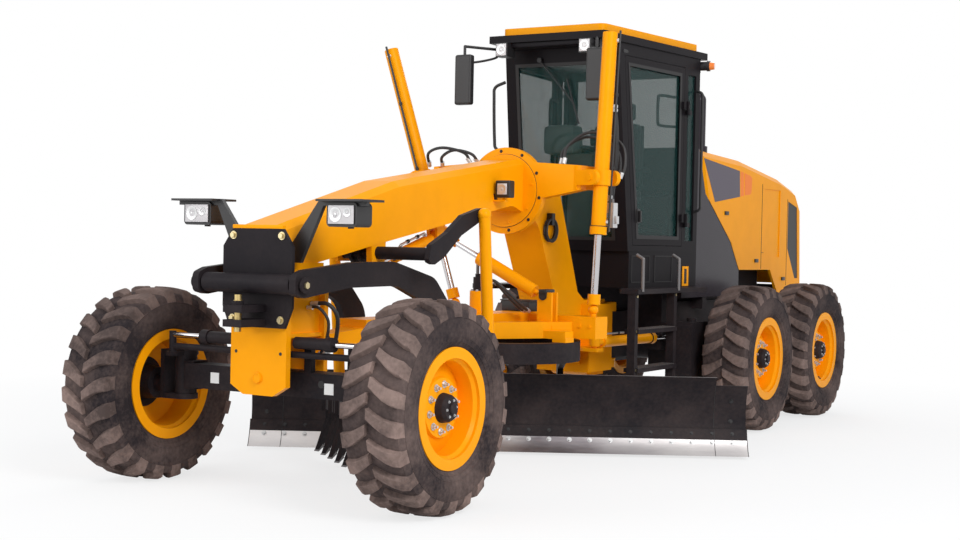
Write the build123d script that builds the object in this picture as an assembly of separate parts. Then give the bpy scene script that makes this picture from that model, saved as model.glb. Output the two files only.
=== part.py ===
"""Motor grader with a front-mounted scarifier, built piece by piece in millimetres.

Machine frame: +X to the front, +Y to the machine's left, +Z up, ground at Z = 0 and X = 0 over the
middle of the tandem. save() moves every piece to the part's own frame, whose origin is on the ground
under the middle of the overall box.
"""
from build123d import *
from math import cos, radians, sin, tan
import os

os.makedirs("parts", exist_ok=True)

# ---------------------------------------------------------------- driving dimensions
ORIGIN = (2292.0, 116.0)      # overall box's middle, in X and Y from the tandem's middle

WHEELBASE = 6110.0            # tandem's middle to the front axle
TANDEM = 1538.0               # between the two rear wheels of a side
TYRE_R = 654.0
TYRE_W = 430.0
TREAD_W = 384.0
LUGS = 22                     # on each side of a tyre
LUG_H = 28.0
RIM_R = 371.0                 # over the flanges
SEAT_R = 318.0                # bead seat
RIM_W = 372.0
DISH = 105.0                  # from the outer flange in to the wheel disc
FRONT_Y = 1130.0              # middle of a front tyre
REAR_Y = 1095.0
KINGPIN_Y = 815.0
SPINDLE_R = 58.0

HITCH_X = 1620.0              # articulation pin
HITCH_Z = (560.0, 1140.0)     # lowest and highest face of the hinge's outer lugs
HITCH_LUG = 80.0
HITCH_R = 150.0
HITCH_PIN_R = 42.0

BEAM_HALF = 170.0             # half width of the front frame
BEAM_CHAMFER = 42.0
HEAD_X = WHEELBASE + 235      # front face of the front frame
HEAD_PLATE = 24.0
AXLE_Z = 730.0                # middle of the front axle beam
AXLE_H = 160.0
AXLE_HALF_X = 80.0

SADDLE_X = 3263.0             # lift cylinders' trunnions
SADDLE_Y = 826.0
SADDLE_Z = 2170.0
RING_X = 3300.0
RING_Z = 2068.0
RING_R = 345.0

BALL = (WHEELBASE - 410, 0.0, 980.0)      # drawbar's ball
DRAWBAR_YAW = -3.5            # the drawbar stands swung to the left
DRAWBAR_Z = (-55.0, 130.0)    # underside and top, from the ball's middle
CIRCLE_X = 3520 - BALL[0]     # circle's middle behind the ball
CIRCLE_R = 600.0
CIRCLE_Z = (745.0, 900.0)
BLADE_TURN = 31.0             # left end back, from square across the machine
BLADE_L = 3900.0
BLADE_H = 610.0
BLADE_R = 420.0               # moldboard's curve
BLADE_T = 22.0
BLADE_Z = 22.0                # cutting edge above the ground
BLADE_X = 75.0                # cutting edge ahead of the circle's middle
BLADE_SHIFT = -30.0
STUD_X = CIRCLE_X - 250       # lift balls, behind the drawbar's ball
STUD_Y = 660.0
STUD_Z = 168.0
STUD_R = 40.0

TUBE = (HEAD_X + 90, 1368.0)  # scarifier's pivot tube: X, Z
TUBE_R = 62.0
SHAFT = (TUBE[0] - 1145, 1566.0)          # scarifier's lift shaft: X, Z
SHAFT_R = 44.0

CAB_FRONT = 2450.0
CAB_REAR = 1060.0
CAB_Z = (1600.0, 3340.0)
CAB_WALL = 50.0
ROOF_Z = 3476.0

GAP = 0.3                     # between a piece and what it seats on
PIN_GAP = 0.4                 # radial, between a pin and its eye
RUN_GAP = 8.0                 # between pieces that move past each other


# ---------------------------------------------------------------- helpers
def save(name, *pieces):
    """Write pieces as one node, moved to the part's frame."""
    solids = [solid for piece in pieces for solid in piece.solids()]
    shape = Compound(solids) if len(solids) > 1 else solids[0]
    export_step(shape.moved(Location((-ORIGIN[0], -ORIGIN[1], 0))), f"parts/{name}.step")


def box(x, y, z):
    """Box between (low, high) pairs."""
    low, high = zip(x, y, z)
    size = [b - a for a, b in zip(low, high)]
    return Pos(*[(a + b) / 2 for a, b in zip(low, high)]) * Box(*size)


def bar(start, end, radius, end_radius=None):
    """Round bar from start to end."""
    start, end = Vector(*start), Vector(*end)
    plane = Plane(origin=start, z_dir=end - start)
    if end_radius is None:
        return extrude(plane * Circle(radius), (end - start).length)
    return loft([plane * Circle(radius), plane.offset((end - start).length) * Circle(end_radius)])


def along(start, end, distance):
    """Point at a distance from start towards end."""
    start, end = Vector(*start), Vector(*end)
    return tuple(start + (end - start).normalized() * distance)


def outline(points, radius=None):
    """Closed face from 2-D points, its corners rounded where radius is given (one or a list)."""
    if radius is None:
        return make_face(Polyline(*points, close=True))
    return make_face(FilletPolyline(*points, radius=radius, close=True))


def side(points, y, radius=None):
    """Plate in the XZ plane between two Y values."""
    return extrude(Plane.XZ.offset(-y[1]) * outline(points, radius), y[1] - y[0])


def front(points, x, radius=None):
    """Plate in the YZ plane between two X values."""
    return extrude(Plane.YZ.offset(x[0]) * outline(points, radius), x[1] - x[0])


def flat(points, z, radius=None):
    """Plate in the XY plane between two Z values."""
    return extrude(Plane.XY.offset(z[0]) * outline(points, radius), z[1] - z[0])


def pair(piece):
    """A left piece with its mirror on the right."""
    return piece + mirror(piece, Plane.XZ)


def right(piece):
    return mirror(piece, Plane.XZ)


def eye(centre, axis, radius, bore, width):
    """Ring round a pin along axis."""
    plane = Plane(origin=Vector(*centre) - Vector(*axis) * (width / 2), z_dir=Vector(*axis))
    return extrude(plane * (Circle(radius) - Circle(bore)), width)


def ram(base, tip, barrel, rod, axis=None, ring=None, end=None):
    """Barrel and rod of a cylinder on the line from base to tip.

    barrel is (start, end, radius, bore) and rod (start, end, radius), distances from base. ring and
    end are (radius, bore, width) of the eyes round axis at base and tip.
    """
    start, stop, radius, bore = barrel
    tube = bar(along(base, tip, start), along(base, tip, stop), radius)
    tube += bar(along(base, tip, stop - 60), along(base, tip, stop), radius + 8)
    rod_piece = bar(along(base, tip, rod[0]), along(base, tip, rod[1]), rod[2])
    if ring:
        neck = bar(along(base, tip, ring[0] - 6), along(base, tip, start + 5), 0.46 * ring[2])
        tube += neck - Pos(*base) * Sphere(ring[1] + 2) + eye(base, axis, *ring)
    if end:
        rod_piece += eye(tip, axis, *end)
    tube -= bar(along(base, tip, start + radius), along(base, tip, stop + 1), bore)
    return tube, rod_piece


DRAWBAR = Pos(*BALL) * Rot(0, 0, DRAWBAR_YAW)
CIRCLE = DRAWBAR * Pos(CIRCLE_X, 0, -BALL[2]) * Rot(0, 0, BLADE_TURN - DRAWBAR_YAW)


def placed(location, point):
    """Machine-frame point of a point in a location's own frame."""
    return tuple((location * Pos(*point)).position)


# ---------------------------------------------------------------- wheels
def carcass():
    """Tyre without its lugs, turned round its axle."""
    half, tread, base = TYRE_W / 2, TREAD_W / 2, TYRE_R - LUG_H
    bead = RIM_W / 2 - 22
    right_half = [(bead, SEAT_R + GAP), (bead, RIM_R + 6), (half - 12, RIM_R + 40), (half, RIM_R + 115),
                  (half - 10, base - 60), (tread - 16, base - 12), (tread - 80, base)]
    section = right_half + [(-y, z) for y, z in reversed(right_half)]
    return revolve(Plane.YZ * outline(section), Axis.Y)


def lug():
    """One slanted lug of the left row, from near the tread's middle out over the shoulder."""
    half, tread, base = TYRE_W / 2, TREAD_W / 2, TYRE_R - LUG_H
    plan = [(-20, 6), (22, 6), (66, tread - 60), (92, tread + 40), (44, tread + 40), (20, tread - 60)]
    profile = [(6, base - 14), (6, TYRE_R), (tread - 60, TYRE_R - 4), (tread - 4, TYRE_R - 20),
               (half - 8, base - 52), (half - 40, base - 66), (tread - 60, base - 14)]
    return flat(plan, (base - 120, TYRE_R + 20)) & front(profile, (-120, 120))


def tyre():
    """Tyre round the Y axis, its lugs staggered from side to side."""
    step = 360 / LUGS
    left_lug = lug()
    right_lug = Rot(0, step / 2, 0) * mirror(left_lug, Plane.XZ)
    return carcass() + [Rot(0, step * k, 0) * row for k in range(LUGS) for row in (left_lug, right_lug)]


def rim(x, y):
    """Dished rim with its hub; the open side faces the machine's outside."""
    half = RIM_W / 2
    disc = half - DISH
    flange = [(-half, SEAT_R - 14), (-half + 20, SEAT_R - 14), (-half + 40, SEAT_R - 32),
              (half - 40, SEAT_R - 32), (half - 20, SEAT_R - 14), (half, SEAT_R - 14), (half, RIM_R),
              (half - 12, RIM_R), (half - 20, SEAT_R), (-half + 20, SEAT_R), (-half + 12, RIM_R),
              (-half, RIM_R)]
    barrel = revolve(Plane.YZ * outline(flange), Axis.Y)
    bore = SPINDLE_R + PIN_GAP
    dish = outline([(disc - 150, bore), (disc + 30, bore), (disc + 30, 0), (disc + 95, 0),
                    (disc + 95, 70), (disc + 75, 84), (disc + 30, 92), (disc + 22, 180), (disc, 190),
                    (disc - 40, SEAT_R - 32), (disc - 60, SEAT_R - 32), (disc - 20, 172),
                    (disc - 20, 120), (disc - 150, 105)])
    wheel = barrel + revolve(Plane.YZ * dish, Axis.Y)
    if y < 0:
        wheel = mirror(wheel, Plane.XZ)
    return Pos(x, y, TYRE_R) * wheel


WHEELS = (
    # name, X, Y
    ("front_left", WHEELBASE, FRONT_Y),
    ("front_right", WHEELBASE, -FRONT_Y),
    ("middle_left", TANDEM / 2, REAR_Y),
    ("middle_right", TANDEM / 2, -REAR_Y),
    ("rear_left", -TANDEM / 2, REAR_Y),
    ("rear_right", -TANDEM / 2, -REAR_Y),
)


def wheels():
    rubber = tyre()
    for name, x, y in WHEELS:
        save(f"tyre_{name}", Pos(x, y, TYRE_R) * rubber)
        save(f"rim_{name}", rim(x, y))


SPINDLE_END = RIM_W / 2 - DISH + 30 - GAP      # end of a spindle from the tyre's middle


# ---------------------------------------------------------------- front axle and steering
ARM_X = 150.0                 # steering arm ahead of the kingpin
ARM_Z = AXLE_Z + 160          # top of the steering arm
RAM_HIGH = ARM_Z + 110         # steering cylinders
KNUCKLE_GAP = 130.0           # half height inside the knuckle's fork


def front_axle():
    boss = 72
    beam = side([(WHEELBASE - AXLE_HALF_X, AXLE_Z - AXLE_H / 2), (WHEELBASE + AXLE_HALF_X, AXLE_Z - AXLE_H / 2),
                 (WHEELBASE + AXLE_HALF_X, AXLE_Z + AXLE_H / 2), (WHEELBASE - AXLE_HALF_X, AXLE_Z + AXLE_H / 2)],
                (-KINGPIN_Y, KINGPIN_Y))
    beam -= pair(box((0, 9000), (KINGPIN_Y - 60, 2000), (0, 2000)))
    ends = pair(Pos(WHEELBASE, KINGPIN_Y, AXLE_Z) * Cylinder(boss, 2 * KNUCKLE_GAP - 2 * GAP))
    pins = pair(Pos(WHEELBASE, KINGPIN_Y, AXLE_Z) * Cylinder(30, 2 * KNUCKLE_GAP + 76))
    neck = pair(box((WHEELBASE - 65, WHEELBASE + 65), (KINGPIN_Y - 130, KINGPIN_Y - 40),
                    (AXLE_Z - 95, AXLE_Z + 95)))
    axle = beam + ends + pins + neck
    for y in (-1, 1):
        start, end = (WHEELBASE + ARM_X, y * 235, RAM_HIGH), (WHEELBASE + ARM_X, y * 800, RAM_HIGH)
        barrel, _ = ram(start, end, (0, 300, 38, 18 + PIN_GAP), (20, 500, 18))
        foot = tuple(sorted((y * 245, y * 300)))
        bracket = box((WHEELBASE + 35, WHEELBASE + 78), foot, (AXLE_Z + AXLE_H / 2 - 10, RAM_HIGH + 30))
        bracket += box((WHEELBASE + 35, WHEELBASE + ARM_X), foot, (RAM_HIGH - 25, RAM_HIGH + 30))
        axle += barrel + (bracket - bar(start, end, 30))
    save("front_axle", axle)


def knuckle(side_sign):
    x, z = WHEELBASE, AXLE_Z
    inner, outer = KINGPIN_Y + 110, KINGPIN_Y + 145
    plate = [(x - 80, KINGPIN_Y), (x - 92, outer), (x + 92, outer), (x + 80, KINGPIN_Y)]
    fork = box((x - 92, x + 92), (inner, outer), (z - KNUCKLE_GAP - 35, z + KNUCKLE_GAP + 35))
    for low in (z - KNUCKLE_GAP - 35, z + KNUCKLE_GAP):
        lug = flat(plate, (low, low + 35)) + Pos(x, KINGPIN_Y, low + 17.5) * Cylinder(80, 35)
        fork += lug
    fork -= Pos(x, KINGPIN_Y, z) * Cylinder(30 + PIN_GAP, 2 * KNUCKLE_GAP + 90)
    fork += bar((x, inner + 5, TYRE_R), (x, FRONT_Y + SPINDLE_END, TYRE_R), SPINDLE_R)
    arm = flat([(x + 40, KINGPIN_Y - 40), (x + ARM_X - 20, KINGPIN_Y - 45), (x + ARM_X + 35, KINGPIN_Y - 30),
                (x + ARM_X + 30, KINGPIN_Y + 20), (x + 70, KINGPIN_Y + 60), (x + 40, KINGPIN_Y + 60)],
               (ARM_Z - 30, ARM_Z))
    fork += arm
    return fork if side_sign > 0 else right(fork)


def steering():
    save("knuckle_left", knuckle(1))
    save("knuckle_right", knuckle(-1))
    x, low, high = WHEELBASE + ARM_X, ARM_Z + 35, RAM_HIGH
    links = bar((x, 15 - KINGPIN_Y, low), (x, KINGPIN_Y - 15, low), 21)
    for y in (-1, 1):
        links += bar((x, y * 400, high), (x, y * (KINGPIN_Y - 20), high), 18)
        links += bar((x, y * (KINGPIN_Y - 15), ARM_Z + GAP), (x, y * (KINGPIN_Y - 15), high + 25), 24)
    save("steering_links", links)


# ---------------------------------------------------------------- front frame
FRAME_LINE = (
    # X, Z, corner radius
    (HEAD_X, 1735.0, 0.0),
    (HEAD_X - 1275, 2068.0, 0.0),
    (3300.0, 2325.0, 0.0),
    (2800.0, 2260.0, 0.0),
    (2372.0, 1247.0, 60.0),
    (2250.0, HITCH_Z[1] + 35, 60.0),
    (1860.0, HITCH_Z[1] + 35, 10.0),
    (1860.0, HITCH_Z[0] - 40, 10.0),
    (2150.0, HITCH_Z[0] - 40, 120.0),
    (2580.0, 820.0, 200.0),
    (3090.0, 1830.0, 220.0),
    (3500.0, 1945.0, 200.0),
    (HEAD_X - 1005, 1619.0, 800.0),
    (HEAD_X, 1430.0, 10.0),
)


def front_frame():
    points = [(x, z) for x, z, _ in FRAME_LINE]
    radii = [r for _, _, r in FRAME_LINE]
    frame = side(points, (-BEAM_HALF, BEAM_HALF), radii)
    tops = [e for e in frame.edges() if abs(abs(e.center().Y) - BEAM_HALF) < 1 and e.center().X > 2800
            and e.center().Z > 2560 - e.center().X * 0.13 and e.length > 400]
    frame = chamfer(tops, BEAM_CHAMFER)
    frame += hitch_lugs() + nose() + saddle() + scarifier_brackets()
    save("front_frame", frame)


def hitch_lugs():
    """Widened rear box with the hinge's outer lugs and the steering rams' ears."""
    low, high = HITCH_Z
    cheeks = box((1862, 2300), (-250, 250), (low, high))
    lugs = cheeks
    for z in (low, high - HITCH_LUG):
        plate = box((HITCH_X, 1870), (-HITCH_R, HITCH_R), (z, z + HITCH_LUG))
        plate += Pos(HITCH_X, 0, z + HITCH_LUG / 2) * Cylinder(HITCH_R, HITCH_LUG)
        lugs += plate
    lugs += Pos(HITCH_X, 0, (low + high) / 2) * Cylinder(HITCH_PIN_R, high - low)
    ear = flat([(2300, 150), (2460, 150), (2560, 330), (2560, 470), (2450, 470), (2300, 300)],
               (RAM_Z - 75, RAM_Z - 45), 20)
    lugs += pair(ear + bar((RAM_BASE[0], RAM_BASE[1], RAM_Z - 50), (RAM_BASE[0], RAM_BASE[1], RAM_Z + 45), 22))
    return lugs


def nose():
    """Box under the beam's front end, with plates down to the axle's pin and the drawbar's seat."""
    half, tip = 224, 120
    low = AXLE_Z - AXLE_H / 2 + 10
    plate = [(-half, 1440), (-half, low + 60), (-tip, low), (tip, low), (half, low + 60), (half, 1440)]
    body = front(plate, (HEAD_X - 45, HEAD_X))
    body += front(plate, (WHEELBASE - 190, WHEELBASE - 150))
    body += box((WHEELBASE - 190, HEAD_X), (-180, 180), (1040, 1500))
    web = side([(WHEELBASE - 190, 880), (HEAD_X - 20, 880), (HEAD_X - 20, 1060), (WHEELBASE - 190, 1060)], (150, 180))
    web -= bar((WHEELBASE + 55, 100, 880), (WHEELBASE + 55, 300, 880), NOSE_ARCH_R)
    ledge = box((WHEELBASE - 190, HEAD_X - 20), (176, 205), (1028, 1052))
    body += pair(web + ledge)
    body += bar((WHEELBASE - 200, 0, AXLE_Z + 40), (HEAD_X + 12, 0, AXLE_Z + 40), 34)
    body -= box((WHEELBASE - AXLE_HALF_X - GAP, WHEELBASE + AXLE_HALF_X + GAP), (-300, 300), (0, 1000))
    body += bar((BALL[0] + 45, 0, BALL[2]), (WHEELBASE - 170, 0, BALL[2]), 84)
    body -= Pos(*BALL) * Rot(0, 90, 0) * Sphere(BALL_R + GAP)
    return body


BALL_R = 62.0
NOSE_ARCH_R = 152.0
RAM_Z = 835.0                 # articulation rams
RAM_BASE = (2500.0, 410.0)
RAM_EYE = (1130.0, 480.0)


def saddle():
    """Round plate across the frame with two arms to the lift cylinders' trunnions."""
    plate = Pos(RING_X, 0, RING_Z) * Rot(0, 90, 0) * Cylinder(RING_R, 60)
    plate += Pos(RING_X, 0, RING_Z) * Rot(0, 90, 0) * Cylinder(RING_R - 55, 84)
    arm = front([(200, 1985), (330, 2010), (SADDLE_Y - 146, SADDLE_Z - 95), (SADDLE_Y - 146, SADDLE_Z + 95),
                 (300, 2290), (200, 2300)], (RING_X - 90, RING_X + 30))
    arms = pair(arm)
    for y in (-1, 1):
        arms += trunnion_frame(y) * yoke()
    return plate + arms + shift_seat()


TRUNNION_TURN = {1: -18.67, -1: 189.73}       # trunnion pins from +X in plan, left and right


def trunnion_frame(y):
    """Frame at a trunnion: X along its pins, Y outward."""
    return Pos(SADDLE_X, y * SADDLE_Y, SADDLE_Z) * Rot(0, 0, TRUNNION_TURN[y])


COLLAR_R = 84.0


def yoke():
    """Fork open outward, its two horns holding the trunnion pins."""
    horn = COLLAR_R + RUN_GAP
    fork = box((-horn - 38, horn + 38), (-190, -COLLAR_R - 62), (-92, 92))
    for x in (-1, 1):
        fork += box(tuple(sorted((x * horn, x * (horn + 38)))), (-190, 20), (-60, 60))
        fork += Pos(x * (horn + 19), 20, 0) * Rot(0, 90, 0) * Cylinder(60, 38)
    fork -= Rot(0, 90, 0) * Cylinder(26 + PIN_GAP, 400)
    return fork


SHIFT_EYE = (3486.0, -520.0, 1726.0)
SHIFT_END_R = 38.0            # sleeve on the centre-shift rod's end
SHIFT_PLAY = 0.8              # from the sleeve's end to its block


def shift_line():
    """Centre-shift cylinder's pin on the drawbar, its rod's end and its direction."""
    base, tip = Vector(*placed(DRAWBAR, SHIFT_BASE)), Vector(*SHIFT_EYE)
    return base, tip, (tip - base).normalized()


def shift_seat():
    """Bracket ahead of the saddle's right arm; its block meets the edge of the centre-shift rod's end."""
    _, tip, toward = shift_line()
    edge = SHIFT_END_R + GAP
    frame = Plane(origin=tip, x_dir=(1, 0, 0), z_dir=toward).location
    block = frame * Pos(-edge - 36, 0, SHIFT_PLAY + 37) * Box(72, 90, 74)
    shelf = box((RING_X + 26, RING_X + 102), (-655, -562), (2080, 2180))
    web = box((RING_X + 62, RING_X + 102), (-655, -562), (1692, 2180))
    return shelf + web + block


def head():
    """Octagonal head plate, scarifier pivot tube, tow clevis with its pin."""
    rows = [(202, 1711), (280, 1600), (280, 1220), (224, 1090)]
    points = [(y, z) for y, z in rows] + [(-y, z) for y, z in reversed(rows)]
    plate = front(points, (HEAD_X, HEAD_X + HEAD_PLATE))
    x, z = TUBE
    plate += bar((x, -350, z), (x, 350, z), TUBE_R)
    for y in (-220, -60, 100, 190):
        plate += box((HEAD_X + 10, x), (y - 15, y + 15), (z - 48, z + 48))
    plate += bar((x, -432, z), (x, 432, z), 34)
    for low in (1100, 1190):
        plate += box((HEAD_X + 20, HEAD_X + 255), (-75, 75), (low, low + 45))
    pin_x = HEAD_X + 200
    plate += bar((pin_x, 0, 1075), (pin_x, 0, 1300), TOW_R) + bar((pin_x, 0, 1235), (pin_x, 0, 1262), 38)
    save("head_plate", plate)


TOW_R = 22.0
WORK_LAMP = (3770.0, 258.0, 2062.0)


def headlamps():
    root = BEAM_HALF + GAP
    arm = front([(root, 1501), (255, 1501), (430, 1860), (760, 1860), (760, 1900), (400, 1900), (root, 1600)],
                (HEAD_X - 115, HEAD_X - 83))
    top = box((HEAD_X - 255, HEAD_X - 15), (420, 770), (1886, 1900))
    lamp = box((HEAD_X - 225, HEAD_X - 65), (470, 700), (1730, 1880))
    lamp = fillet(lamp.edges().filter_by(Axis.X), 28)
    arm += top + lamp
    save("headlamps", arm, right(arm), work_lamp())


def work_lamp():
    """Square lamp on the beam's left side, on a short bent bracket."""
    x, y, z = WORK_LAMP
    bracket = front([(BEAM_HALF + GAP, z - 95), (BEAM_HALF + GAP, z - 35), (BEAM_HALF + 12, z - 83),
                     (y + 20, z - 83), (y + 20, z - 95)], (x - 25, x + 25))
    bracket += box((x - 12, x + 12), (y - 12, y + 12), (z - 90, z - 60))
    return bracket + fillet(box((x - 42, x + 38), (y - 66, y + 66), (z - 66, z + 66)).edges(), 12)


# ---------------------------------------------------------------- drawbar, circle and blade
def drawbar():
    save("drawbar_ball", Pos(*BALL) * Sphere(BALL_R))
    low, high = DRAWBAR_Z
    half = 125
    beam = box((STUD_X - 90, -330), (-half, half), (low, high))
    beam += front([(-half, low), (half, low), (half, high), (-half, high)], (-340, -320))
    neck = loft([Plane.YZ.offset(-330) * Rectangle(2 * half - 10, 150), Plane.YZ.offset(-38) * Rectangle(80, 80)])
    beam += Pos(0, 0, 0) * neck
    beam -= Sphere(BALL_R + GAP)
    cross = box((STUD_X - 90, STUD_X + 90), (-STUD_Y - 75, STUD_Y + 75), (low, high - 15))
    beam += cross
    for y in (-1, 1):
        beam += Pos(STUD_X, y * STUD_Y, STUD_Z) * Sphere(STUD_R)
        beam += bar((STUD_X, y * STUD_Y, high - 20), (STUD_X, y * STUD_Y, STUD_Z), 24)
        brace = flat([(CIRCLE_X + 430, y * 110), (CIRCLE_X + 580, y * 110), (STUD_X + 30, y * 560),
                      (STUD_X + 30, y * 430)], (low, high - 60))
        beam += brace
    shoe_low = CIRCLE_Z[1] - BALL[2] + GAP
    for x, y in ((-560, 0), (560, 0), (0, 545), (0, -545)):
        beam += box((CIRCLE_X + x - 60, CIRCLE_X + x + 60), (y - 60, y + 60), (shoe_low, low + 10))
    beam += box((CIRCLE_X - 60, CIRCLE_X + 60), (-600, 600), (low, low + 60))
    beam += box((CIRCLE_X - 620, STUD_X - 70), (-70, 70), (low, low + 60))
    beam += bar((CIRCLE_X + 330, 0, high - 20), (CIRCLE_X + 330, 0, high + 170), 85)
    base = SHIFT_BASE
    for x in (-1, 1):
        beam += box(tuple(sorted((base[0] + x * 26, base[0] + x * 48))), (base[1] - 55, base[1] + 75),
                    (low + 60, base[2] + 50))
    beam += box((base[0] - 60, base[0] + 60), (100, base[1] + 90), (low, low + 100))
    beam += bar((base[0] - 48, base[1], base[2]), (base[0] + 48, base[1], base[2]), 20)
    save("drawbar", DRAWBAR * beam)


SHIFT_BASE = (CIRCLE_X - 60, 350.0, 245.0)


def circle():
    low, high = CIRCLE_Z
    ring = Pos(0, 0, (low + high) / 2) * (Cylinder(CIRCLE_R, high - low) - Cylinder(CIRCLE_R - 95, high - low))
    for y in (-1, 1):
        arm = side([(-330, low + 60), (-330, low), (TILT_X - 75, 400), (TILT_X - 55, TILT_Z - 55),
                    (TILT_X + 43, TILT_Z - 55), (TILT_X + 43, 420), (-70, low - 80), (330, low),
                    (330, low + 60)], tuple(sorted((y * 430, y * 475))))
        arm -= bar((TILT_X, y * 400, TILT_Z), (TILT_X, y * 500, TILT_Z), 28 + PIN_GAP)
        ring += arm
    for v in (-1, 1):
        lug = side([(-470, low + 30), (-470, low - 60), (-425, low - 90), (-385, low - 80), (-360, low + 30)],
                   tuple(sorted((v * 26, v * 48))))
        ring += lug
    ring += box((-560, -340), (-90, 90), (low, low + 40))
    ring += bar((TIP_BASE[0], -48, TIP_BASE[1]), (TIP_BASE[0], 48, TIP_BASE[1]), 18)
    save("circle", CIRCLE * ring)


TILT_X, TILT_Z = -215.0, 215.0         # blade's tipping axis, in the circle's frame
TIP_BASE = (-410.0, 690.0)
TIP_EYE = (-214.0, 500.0)
SHIFT_LINE = (-130.0, 330.0)            # side-shift cylinder: X, Z
RAIL_Z = (165.0, 465.0)               # lower and upper slide rails
RAIL_X = -85.0


def moldboard_x(z, offset=0.0):
    """Front face of the moldboard at a height, its curve hollow to the front."""
    middle = BLADE_Z + BLADE_H / 2
    centre = BLADE_X + (BLADE_R ** 2 - (BLADE_H / 2) ** 2) ** 0.5
    return centre - ((BLADE_R + offset) ** 2 - (z - middle) ** 2) ** 0.5


def blade():
    low, high = BLADE_Z + 90, BLADE_Z + BLADE_H
    mid = (low + high) / 2
    face = [(moldboard_x(z), z) for z in (low, mid, high)]
    back = [(moldboard_x(z, BLADE_T), z) for z in (high, mid, low)]
    section = make_face([Line(back[2], face[0]), ThreePointArc(*face), Line(face[2], back[0]),
                         ThreePointArc(*back)])
    half = BLADE_L / 2
    board = extrude(Plane.XZ.offset(-half) * section, 2 * half)
    for y in (-1, 1):
        board -= box((-300, 400), tuple(sorted((y * (half - 250), y * (half + 10)))), (high - 66, high + 20))
    for z in RAIL_Z:
        board += box((RAIL_X - 22, moldboard_x(z, BLADE_T) + 6), (-1150, 1150), (z - 22, z + 22))
    x, z = SHIFT_LINE
    board += box((x - 32, moldboard_x(z, BLADE_T) + 8), (1080, 1125), (z - 35, z + 35))
    save("blade", CIRCLE * Pos(0, BLADE_SHIFT, 0) * board)
    lip = [(moldboard_x(z, -GAP), z) for z in (BLADE_Z, BLADE_Z + 100, BLADE_Z + 200)]
    face = [(moldboard_x(z, -16), z) for z in (BLADE_Z + 200, BLADE_Z + 100, BLADE_Z)]
    section = make_face([Line(face[2], lip[0]), ThreePointArc(*lip), Line(lip[2], face[0]),
                         ThreePointArc(*face)])
    edge = extrude(Plane.XZ.offset(-half - 8) * section, 2 * half + 16)
    rod = bar((x, -150, z), (x, 1080 - GAP, z), 15)
    save("blade_edge", CIRCLE * Pos(0, BLADE_SHIFT, 0) * edge, CIRCLE * Pos(0, BLADE_SHIFT, 0) * rod)
    save("blade_tilt", CIRCLE * tilt_frame())


def tilt_frame():
    """Two rail carriers joined by a tube, with the side-shift barrel."""
    outer = RAIL_X - 22 - 1
    x, z = SHIFT_LINE
    frame = bar((TILT_X + 60, -425, 500), (TILT_X + 60, 425, 500), 22)
    for y in (-1, 1):
        span = tuple(sorted((y * 350, y * 425)))
        frame += side([(TILT_X - 40, RAIL_Z[0] - 20), (TILT_X + 40, RAIL_Z[0] - 60), (outer, RAIL_Z[0] - 60),
                       (outer, RAIL_Z[1] + 60), (TILT_X + 35, RAIL_Z[1] + 60), (TILT_X - 40, 260)], span)
        frame += bar((TILT_X, y * 350, TILT_Z), (TILT_X, y * 490, TILT_Z), 28)
        for rail in RAIL_Z:
            for hook in (-1, 1):
                edge = tuple(sorted((rail + hook * 23, rail + hook * 45)))
                frame += box((outer - 10, RAIL_X + 2), span, edge)
    for v in (-1, 1):
        lug = side([(TIP_EYE[0] - 30, 480), (TILT_X + 75, 480), (TILT_X + 75, 520), (TIP_EYE[0] - 10, 530)],
                   tuple(sorted((v * 26, v * 46))))
        frame += lug
    frame += bar((x, -720, z), (x, 425, z), 24)
    frame -= bar((x, -690, z), (x, 426, z), 15 + PIN_GAP)
    return frame


# ---------------------------------------------------------------- hydraulic rams
def lift_rams():
    """Two lift cylinders, from the saddle's trunnions to the drawbar's balls."""
    for name, y in (("left", 1), ("right", -1)):
        top = (SADDLE_X, y * SADDLE_Y, SADDLE_Z)
        foot = placed(DRAWBAR, (STUD_X, y * STUD_Y, STUD_Z))
        reach = (Vector(*foot) - Vector(*top)).length
        head_point = along(top, foot, -1130)
        barrel, rod = ram(head_point, foot, (0, 1130 + 440, 58, 27 + PIN_GAP), (700, 1130 + reach - STUD_R - GAP - 40, 27))
        collar = bar(along(top, foot, -60), along(top, foot, 60), COLLAR_R - 10)
        collar -= bar(along(top, foot, -60), along(top, foot, 60), 50)
        pins = trunnion_frame(y) * (Rot(0, 90, 0) * Cylinder(26, 2 * (COLLAR_R + RUN_GAP + 38) + 16))
        pins -= bar(along(top, foot, -100), along(top, foot, 100), 50)
        save(f"lift_barrel_{name}", barrel + collar + pins)
        cap_top = along(foot, top, STUD_R + GAP + 80)
        cap = bar(along(foot, top, STUD_R + GAP), cap_top, 50)
        save(f"lift_rod_{name}", rod + cap)


def shift_ram():
    """Centre-shift cylinder, from the drawbar's left bracket to the saddle's right seat."""
    base, tip, toward = shift_line()
    reach = (tip - base).length
    axis = (cos(radians(DRAWBAR_YAW)), sin(radians(DRAWBAR_YAW)), 0)
    barrel, rod = ram(tuple(base), tuple(tip), (115, 685, 52, 22 + PIN_GAP), (412, reach, 22), axis,
                      (46, 20 + PIN_GAP, 44))
    save("shift_barrel", barrel)
    sleeve = bar(tuple(tip - toward * 190), tuple(tip), SHIFT_END_R)
    save("shift_rod", rod + sleeve)


def tip_ram():
    """Blade tipping cylinder, from the circle's lug to the tilt frame."""
    base = (TIP_BASE[0], 0, TIP_BASE[1])
    tip = (TIP_EYE[0], 0, TIP_EYE[1])
    reach = (Vector(*tip) - Vector(*base)).length
    barrel, rod = ram(base, tip, (70, 215, 32, 15 + PIN_GAP), (120, reach - 20, 15), (0, 1, 0),
                      (34, 18 + PIN_GAP, 44), (26, 10, 44))
    save("tip_barrel", CIRCLE * barrel)
    save("tip_rod", CIRCLE * rod)


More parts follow.
